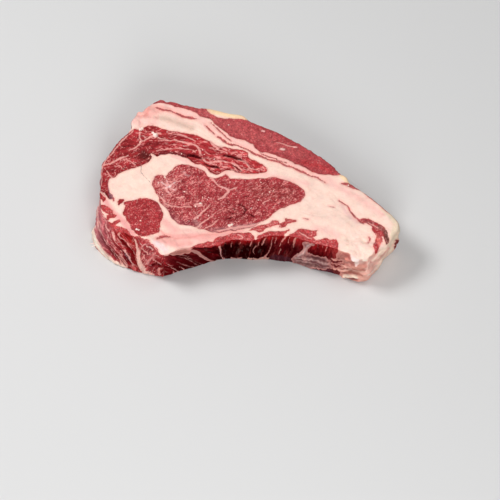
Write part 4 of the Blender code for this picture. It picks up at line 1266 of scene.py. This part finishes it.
def filled(loop, spacing, upward):
    """A cut face inside the loop: its inner points, and faces that count the loop's points first."""
    inner = points_inside(loop, spacing)
    flat = [Vector(place) for place in np.vstack([loop, inner]).tolist()]
    border = [(i, (i + 1) % len(loop)) for i in range(len(loop))]
    faces, sources = delaunay_2d_cdt(flat, border, [], 1, 1e-5)[2:4]
    order = {i: source[0] for i, source in enumerate(sources) if source}
    triangles = [[order[i] for i in (face if upward else face[::-1])] for face in faces]
    return inner, triangles


def ring_faces(first, last, count):
    """Quads between closed rings of points, from the ring that starts at first to the one at last."""
    return [
        (ring + i, ring + (i + 1) % count, ring + count + (i + 1) % count, ring + count + i)
        for ring in range(first, last, count) for i in range(count)
    ]


def renumbered(triangles, count, loop_start, inner_start):
    """The triangles with their loop points, the first ones, and inner points counted from new starts."""
    return [
        [loop_start + i if i < count else inner_start + i - count for i in triangle]
        for triangle in triangles
    ]


def side_skin():
    """The side's points ring by ring, its pattern, and how many points a ring has."""
    rim = curve(OUTLINE, RIM_SPACING, closed=True)
    normals = outward_normals(rim[:, :2])
    rings, freedom = side_rings(rim, normals)
    levels, count = len(rings), len(rim)
    side = rings.reshape(-1, 3)
    along_rim = np.tile(np.arange(count) * RIM_SPACING, levels)
    plan = np.column_stack([side[:, 0], side[:, 1] + (side[:, 2] - SLICE_THICKNESS) * SIDE_DROP])
    away = np.tile(smooth_step(*FAR_SIDE_FROM, normals[:, 1]), levels)
    near_side = near_side_pattern(plan, side[:, 2], along_rim)
    pattern = blended(near_side, far_side_pattern(side, along_rim), away)
    push = pattern["lift"] * freedom.ravel()
    side[:, :2] += np.tile(normals, (levels, 1)) * push[:, None]

    bend = (levels - RIM_RINGS) * count
    rim_pattern = face_pattern(side[bend:, :2])
    for name, values in pattern.items():
        values[bend:] = rim_pattern[name]
    return side, pattern, count


def steak_skin():
    """Places, faces and pattern of the whole steak: its side, its cut face and its underside."""
    side, side_pattern, count = side_skin()
    last_ring = len(side) - count
    face_points, face_triangles = filled(side[last_ring:, :2], FACE_SPACING, upward=True)
    under_points, under_triangles = filled(side[:count, :2], UNDERSIDE_SPACING, upward=False)

    face = face_pattern(face_points)
    face_places = np.column_stack([face_points, face_height(face_points, face["lift"])])
    under = face_pattern(wobbled(under_points, *UNDERSIDE_WOBBLE))
    under["grain"] = np.column_stack([under_points, np.full(len(under_points), UNDERSIDE_GRAIN)])
    under_places = np.column_stack([under_points, np.zeros(len(under_points))])

    faces = ring_faces(0, last_ring, count)
    above, below = len(side), len(side) + len(face_points)
    faces += renumbered(face_triangles, count, last_ring, above)
    faces += renumbered(under_triangles, count, 0, below)
    pattern = {
        name: np.concatenate([part[name] for part in (side_pattern, face, under)])
        for name in side_pattern
    }
    return np.vstack([side, face_places, under_places]), faces, pattern


# Meshes and materials

class Nodes:
    """Short calls for building a tree of nodes."""

    def __init__(self, tree):
        self.tree = tree

    def put(self, socket, value):
        """Links a value to the socket, or sets it on the socket itself where it is the same all over."""
        if isinstance(value, bpy.types.NodeSocket):
            self.tree.links.new(value, socket)
        else:
            socket.default_value = value

    def add(self, kind, inputs=(), **settings):
        """A node with its settings, and with each value put in its socket."""
        node = self.tree.nodes.new(kind)
        for name, value in settings.items():
            setattr(node, name, value)
        for socket, value in inputs:
            self.put(node.inputs[socket], value)
        return node

    def shade(self, inputs):
        """Puts each value on the material's own shader."""
        for socket, value in inputs:
            self.put(self.tree.nodes["Principled BSDF"].inputs[socket], value)

    def attribute(self, name):
        return self.add("ShaderNodeAttribute", attribute_name=name).outputs

    def noise(self, where, scale, detail, roughness):
        return self.add("ShaderNodeTexNoise", [
            ("Vector", where), ("Scale", scale), ("Detail", detail), ("Roughness", roughness)
        ]).outputs["Fac"]

    def math(self, operation, first, second=0.0):
        return self.add("ShaderNodeMath", [(0, first), (1, second)], operation=operation).outputs[0]

    def plus(self, first, second):
        return self.math("ADD", first, second)

    def times(self, first, second):
        return self.math("MULTIPLY", first, second)

    def ramp(self, value, low, high, start=0.0, end=1.0):
        """A smooth rise or fall from start to end as the value goes from low to high."""
        return self.add("ShaderNodeMapRange", [
            ("Value", value), ("From Min", low), ("From Max", high), ("To Min", start), ("To Max", end)
        ], interpolation_type="SMOOTHSTEP").outputs["Result"]

    def mix(self, share, first, second, blend="MIX"):
        return self.add(
            "ShaderNodeMix", [(0, share), (6, first), (7, second)],
            data_type="RGBA", blend_type=blend, clamp_result=False,
        ).outputs[2]

    def bright(self, colour, factor):
        """A colour made lighter or darker by a factor, which may vary over the surface."""
        grey = self.add("ShaderNodeCombineColor", [(0, factor), (1, factor), (2, factor)]).outputs[0]
        return self.mix(1.0, colour, grey, "MULTIPLY")


def paint(colour):
    """The colour as a shader's socket takes it."""
    return (*(float(part) for part in rgb(colour)), 1.0)


def new_material(name):
    """A material, and the short calls for its nodes."""
    material = bpy.data.materials.new(name)
    material.use_nodes = True
    return material, Nodes(material.node_tree)


def flesh_colour(n, waves, marbling, stringy, is_vein):
    """The meat's own colour with clouds, pale strings, flecks and threads of fat, pits and veins."""
    flesh = n.attribute("flesh")["Color"]
    flesh = n.bright(flesh, n.ramp(waves["medium"], 0.28, 0.72, 0.66, 1.30))
    flesh = n.bright(flesh, n.ramp(waves["fine"], *CLOUD, 0.74, 1.26))
    flesh = n.bright(flesh, n.ramp(waves["broad"], *CLOUD, 0.84, 1.14))
    strings = n.times(n.ramp(waves["medium"], 0.52, 0.70, 0.0, 0.8), stringy)
    flesh = n.mix(strings, flesh, n.attribute("fat")["Color"])

    marbled = n.ramp(marbling, *UNMARBLED)
    clustered = n.times(n.math("SUBTRACT", waves["broad"], 0.5), 0.3)
    level = n.plus(n.plus(waves["flecks"], n.times(marbling, 0.09)), clustered)
    flecks = n.times(n.ramp(level, 0.61, 0.70, 0.0, 0.9), marbled)
    flesh = n.mix(flecks, flesh, paint(FLECK_PINK))

    line = n.math("ABSOLUTE", n.math("SUBTRACT", waves["threads"], 0.5))
    place = n.plus(waves["thread_places"], n.times(marbling, 0.10))
    threads = n.times(n.ramp(line, 0.030, 0.008), n.ramp(place, 0.56, 0.66, 0.0, 0.8))
    flesh = n.mix(n.times(threads, marbled), flesh, paint(THREAD_PINK))

    flesh = n.mix(n.ramp(waves["pits"], 0.38, 0.28, 0.0, 0.6), flesh, paint(PIT_RED))
    return n.mix(n.times(is_vein, 0.8), flesh, paint(VEIN_PINK))


def fat_colour(n, waves, stringy, inside_meat):
    """The fat's own colour with clouds, dark strings, a blush, and stains beside the meat."""
    fat = n.bright(n.attribute("fat")["Color"], n.ramp(waves["broad"], *CLOUD, 0.94, 1.04))
    fat = n.bright(fat, n.ramp(waves["fine"], *CLOUD, 0.91, 1.06))
    strings = n.times(stringy, n.ramp(waves["medium"], 0.6, 0.32, 0.0, 0.42))
    fat = n.bright(fat, n.math("SUBTRACT", 1.0, strings))
    fat = n.mix(n.ramp(waves["blush"], 0.50, 0.72, 0.0, 0.3), fat, paint(BLUSH))
    return n.mix(n.ramp(inside_meat, -1.8, -0.1, 0.0, 0.4), fat, paint(STAINED_FAT))


def raw_beef():
    """Meat and fat of the whole steak, told apart by the skin's own fields in millimetres."""
    material, n = new_material("raw_beef")
    grain = n.attribute("grain")["Vector"]
    meat, vein, crack, marbling, stringy = (
        n.attribute(name)["Fac"] for name in ("meat", "vein", "crack", "marbling", "stringy")
    )
    waves = {kind: n.noise(grain, *settings) for kind, settings in BEEF_NOISE.items()}

    jagged = n.math("SUBTRACT", waves["jagged"], 0.5)
    inside_meat = n.plus(meat, n.times(jagged, n.ramp(marbling, *UNMARBLED, 0.8, 1.9)))
    is_meat = n.ramp(inside_meat, -0.22, 0.24)
    is_vein = n.ramp(n.plus(vein, n.times(jagged, 0.8)), -0.34, 0.26)
    is_crack = n.ramp(n.plus(crack, jagged), -0.4, 0.4)

    flesh = flesh_colour(n, waves, marbling, stringy, is_vein)
    colour = n.mix(is_meat, fat_colour(n, waves, stringy, inside_meat), flesh)
    # Painted shade in the splits, pits and hairline cracks
    colour = n.mix(n.times(is_crack, 0.9), colour, paint(CRACK_SHADE_RED))

    height = n.plus(n.times(waves["fine"], 0.7), n.times(waves["speck"], 0.25))
    height = n.plus(height, n.times(waves["medium"], 0.6))
    height = n.plus(height, n.times(is_vein, 0.15))
    height = n.times(height, n.ramp(is_meat, 0.0, 1.0, 0.6, 1.0))
    bump = n.add("ShaderNodeBump", [("Strength", 0.6), ("Distance", 1.0 * MM), ("Height", height)])
    n.shade([
        ("Base Color", colour),
        ("Roughness", n.plus(n.ramp(waves["medium"], *CLOUD, 0.30, 0.50), n.times(is_meat, -0.06))),
        ("Specular IOR Level", 0.0),
        ("Subsurface Weight", 0.12), ("Subsurface Radius", (1.0, 0.32, 0.2)),
        ("Subsurface Scale", 1.6 * MM), ("Normal", bump.outputs["Normal"]),
    ])
    return material


def white_fat():
    """Soft white fat of the crumbs and loose threads."""
    material, n = new_material("white_fat")
    where = n.add("ShaderNodeTexCoord").outputs["Object"]
    cloud = n.noise(where, CRUMB_CLOUDS_PER_METRE, 3.0, 0.55)
    n.shade([
        ("Base Color", n.mix(n.ramp(cloud, 0.35, 0.65), paint(SOFT_FAT), paint(WHITE_FAT))),
        ("Roughness", n.ramp(cloud, *CLOUD, 0.35, 0.55)),
        ("Subsurface Weight", 0.2), ("Subsurface Radius", (1.0, 0.5, 0.35)),
        ("Subsurface Scale", 1.0 * MM),
    ])
    return material


def add_attribute(mesh, name, values):
    """Stores a number, a place or a colour for every point of the mesh."""
    kind, field = "FLOAT", "value"
    if name == "grain":
        kind, field = "FLOAT_VECTOR", "vector"
    elif values.ndim == 2:
        kind, field = "FLOAT_COLOR", "color"
        values = np.column_stack([np.clip(values, 0.0, 1.0), np.ones(len(values))])
    flat = values.astype(np.float32).ravel()
    mesh.attributes.new(name, kind, "POINT").data.foreach_set(field, flat)


def show(name, data):
    """Puts a mesh, a light or a camera into the scene as an object of that name."""
    piece = bpy.data.objects.new(name, data)
    bpy.context.scene.collection.objects.link(piece)
    return piece


def make_object(name, places, faces, material):
    """A mesh in one material, with its places in metres."""
    mesh = bpy.data.meshes.new(name)
    mesh.from_pydata(places.tolist(), [], faces)
    mesh.materials.append(material)
    return show(name, mesh)


def finish_piece(piece):
    """Smooths the piece and puts it on the steak's body."""
    piece.data.shade_smooth()
    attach(piece, "root")


def frame_shift(places):
    """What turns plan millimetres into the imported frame's: its box's middle, and the ground at 0."""
    low, high = (np.array(corner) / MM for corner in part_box("steak"))
    across, along, _ = (low + high) / 2.0 - (places.min(axis=0) + places.max(axis=0)) / 2.0
    return np.array([across, along, 0.0])


# The pieces

def build_steak():
    """The skin that stands for the solid; gives its places, and their shift into the frame."""
    places, faces, pattern = steak_skin()
    shift = frame_shift(places)
    steak = make_object("steak_skin", (places + shift) * MM, faces, raw_beef())
    del pattern["lift"]
    for name, values in pattern.items():
        add_attribute(steak.data, name, values)
    finish_piece(steak)
    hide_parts("steak")
    return places, shift


def crumb_tree(material):
    """Geometry nodes that put a small uneven lump of fat on every point, and its inputs' identifiers."""
    tree = bpy.data.node_groups.new("fat_crumbs", "GeometryNodeTree")
    sockets = tree.interface.new_socket
    sockets("Geometry", in_out="INPUT", socket_type="NodeSocketGeometry")
    size = sockets("Crumb size", in_out="INPUT", socket_type="NodeSocketFloat")
    seed = sockets("Seed", in_out="INPUT", socket_type="NodeSocketInt")
    uneven = sockets("Unevenness", in_out="INPUT", socket_type="NodeSocketFloat")
    sockets("Geometry", in_out="OUTPUT", socket_type="NodeSocketGeometry")

    n = Nodes(tree)
    start = n.add("NodeGroupInput").outputs
    ball = n.add("GeometryNodeMeshIcoSphere", [("Radius", start["Crumb size"]), ("Subdivisions", 2)])
    scale = n.add("GeometryNodeInputNamedAttribute", [("Name", "crumb")])
    turn = n.add("FunctionNodeRandomValue", data_type="FLOAT_VECTOR")
    n.put(turn.inputs["Max"], (math.tau, math.tau, math.tau))
    n.put(turn.inputs["Seed"], start["Seed"])
    place = n.add("GeometryNodeInstanceOnPoints", [
        ("Points", start["Geometry"]), ("Instance", ball.outputs["Mesh"]),
        ("Rotation", turn.outputs["Value"]), ("Scale", scale.outputs["Attribute"]),
    ])
    real = n.add("GeometryNodeRealizeInstances", [("Geometry", place.outputs["Instances"])])

    where = n.add("GeometryNodeInputPosition").outputs["Position"]
    lumps = n.add("ShaderNodeTexNoise", [("Scale", CRUMB_LUMPS_PER_METRE), ("Vector", where)])
    centred = n.add(
        "ShaderNodeVectorMath", [(0, lumps.outputs["Color"]), (1, (0.5, 0.5, 0.5))], operation="SUBTRACT"
    )
    amount = n.add(
        "ShaderNodeVectorMath", [(0, centred.outputs["Vector"]), ("Scale", start["Unevenness"])],
        operation="SCALE",
    )
    shaken = n.add("GeometryNodeSetPosition", [
        ("Geometry", real.outputs["Geometry"]), ("Offset", amount.outputs["Vector"])
    ])
    coated = n.add("GeometryNodeSetMaterial", [
        ("Geometry", shaken.outputs["Geometry"]), ("Material", material)
    ])
    n.add("NodeGroupOutput", [("Geometry", coated.outputs["Geometry"])])
    return tree, size.identifier, seed.identifier, uneven.identifier


def baked(maker, name):
    """The maker's evaluated mesh as a plain object of that name; the maker is removed."""
    view = bpy.context.evaluated_depsgraph_get()
    mesh = bpy.data.meshes.new_from_object(maker.evaluated_get(view))
    mesh.name = name
    piece = show(name, mesh)
    bpy.data.objects.remove(maker)
    return piece


def crumb_places(places, chance):
    """Place and size of each crumb: the large ones as listed, the specks at random on the meat."""
    face = places[places[:, 2] > SLICE_THICKNESS - FACE_DEPTH]
    # Crumbs and specks, partly real fat and partly painted glints
    specks = face[chance.choice(len(face), SMALL_CRUMBS_AND_GLINTS * 3, replace=False)]
    in_meat = np.logical_or(*(patch(specks[:, :2], MUSCLES[name][0]) > 1.0 for name in ("eye", "cap")))
    specks = specks[in_meat][:SMALL_CRUMBS_AND_GLINTS]
    large = []
    for x, y, size in CRUMBS:
        nearest = face[np.argmin(np.hypot(face[:, 0] - x, face[:, 1] - y))]
        large.append((x, y, nearest[2] - CRUMB_DEPTH * size, size))
    small = np.column_stack([specks, chance.uniform(*SMALL_CRUMB_SIZES, len(specks))])
    return np.vstack([np.array(large), small])


def build_crumbs(places, shift, material):
    """White crumbs of fat that lie on the cut face, partly standing in as painted glints."""
    chance = np.random.default_rng(SEED)
    crumbs = crumb_places(places, chance)
    mesh = bpy.data.meshes.new("crumb_points")
    mesh.from_pydata(((crumbs[:, :3] + shift) * MM).tolist(), [], [])
    sizes = chance.uniform(*CRUMB_SPREAD, (len(crumbs), 3)).mean(axis=1) * crumbs[:, 3]
    add_attribute(mesh, "crumb", sizes)
    maker = show("crumb_points", mesh)
    tree, size_input, seed_input, uneven_input = crumb_tree(material)
    modifier = maker.modifiers.new("crumbs", "NODES")
    modifier.node_group = tree
    modifier[size_input] = CRUMB_SIZE * MM
    modifier[seed_input] = SEED
    modifier[uneven_input] = CRUMB_UNEVENNESS * MM
    finish_piece(baked(maker, "fat_crumbs"))


def tube(knots, first):
    """Points and faces of a bent, tapering tube with closed ends; first is its first point's number."""
    route = curve(knots, WISP_STEP)
    turns = np.linspace(0.0, math.tau, WISP_SIDES, endpoint=False)
    along = np.gradient(route[:, :3], axis=0)
    along /= np.linalg.norm(along, axis=1, keepdims=True)
    across = np.cross(along, (0.0, 0.0, 1.0))
    across /= np.linalg.norm(across, axis=1, keepdims=True)
    up = np.cross(along, across)
    around = np.cos(turns)[:, None] * across[:, None] + np.sin(turns)[:, None] * up[:, None]
    rings = route[:, None, :3] + route[:, 3:, None] * around
    last = first + (len(route) - 1) * WISP_SIDES
    faces = ring_faces(first, last, WISP_SIDES)
    faces.append(tuple(range(first + WISP_SIDES - 1, first - 1, -1)))
    faces.append(tuple(range(last, last + WISP_SIDES)))
    return rings.reshape(-1, 3), faces


def build_wisps(shift, material):
    """Loose threads of fat that stand off the side."""
    places, faces = np.zeros((0, 3)), []
    for knots in WISPS:
        more_places, more_faces = tube(knots, len(places))
        places = np.vstack([places, more_places])
        faces += more_faces
    finish_piece(make_object("fat_wisps", (places + shift) * MM, faces, material))


# Floor, light and camera

def build_stage():
    """The plain pale floor that the steak lies on."""
    corners = FLOOR_HALF * np.array([(-1, -1, 0), (1, -1, 0), (1, 1, 0), (-1, 1, 0)])
    material, n = new_material("pale_floor")
    n.shade([("Base Color", (FLOOR_GREY, FLOOR_GREY, FLOOR_GREY, 1.0)), ("Roughness", 0.8)])
    make_object("floor", corners - (0, 0, FLOOR_DROP), [(0, 1, 2, 3)], material)


def build_lights():
    """A faint even sky and three soft lamps, all turned to the steak."""
    world = bpy.data.worlds.new("studio")
    bpy.context.scene.world = world
    world.use_nodes = True
    sky = world.node_tree.nodes["Background"].inputs
    sky["Color"].default_value = (1.0, 0.99, 0.98, 1.0)
    sky["Strength"].default_value = WORLD_STRENGTH
    for name, place, size, energy in LAMPS:
        light = bpy.data.lights.new(name, "AREA")
        light.size = size
        light.energy = energy
        lamp = show(name, light)
        lamp.location = place
        lamp.rotation_euler = (-Vector(place)).to_track_quat("-Z", "Y").to_euler()


def build_camera(shift):
    """The photograph's view: 360 mm of the ground across the frame, through a very long lens."""
    lens = bpy.data.cameras.new("camera")
    lens.lens = LENS_LENGTH
    lens.sensor_width = SENSOR_WIDTH
    lens.clip_end = 5.0 * CAMERA_DISTANCE
    camera = show("camera", lens)
    back = np.array([0.0, -math.cos(SEEN_FROM), math.sin(SEEN_FROM)])
    camera.location = (CAMERA_AIM + shift) * MM + CAMERA_DISTANCE * back
    camera.rotation_euler = (math.pi / 2 - SEEN_FROM, 0.0, 0.0)
    bpy.context.scene.camera = camera
    bpy.context.scene.view_settings.view_transform = "Standard"


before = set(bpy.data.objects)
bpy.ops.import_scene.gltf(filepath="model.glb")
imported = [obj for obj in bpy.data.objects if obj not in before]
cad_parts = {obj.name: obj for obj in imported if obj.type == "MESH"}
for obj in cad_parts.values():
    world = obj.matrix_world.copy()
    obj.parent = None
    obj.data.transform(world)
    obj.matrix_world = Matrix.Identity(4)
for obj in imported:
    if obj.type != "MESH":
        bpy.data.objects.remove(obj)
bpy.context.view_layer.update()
skin_places, plan_shift = build_steak()
fat = white_fat()
build_crumbs(skin_places, plan_shift, fat)
build_wisps(plan_shift, fat)
build_stage()
build_lights()
build_camera(plan_shift)
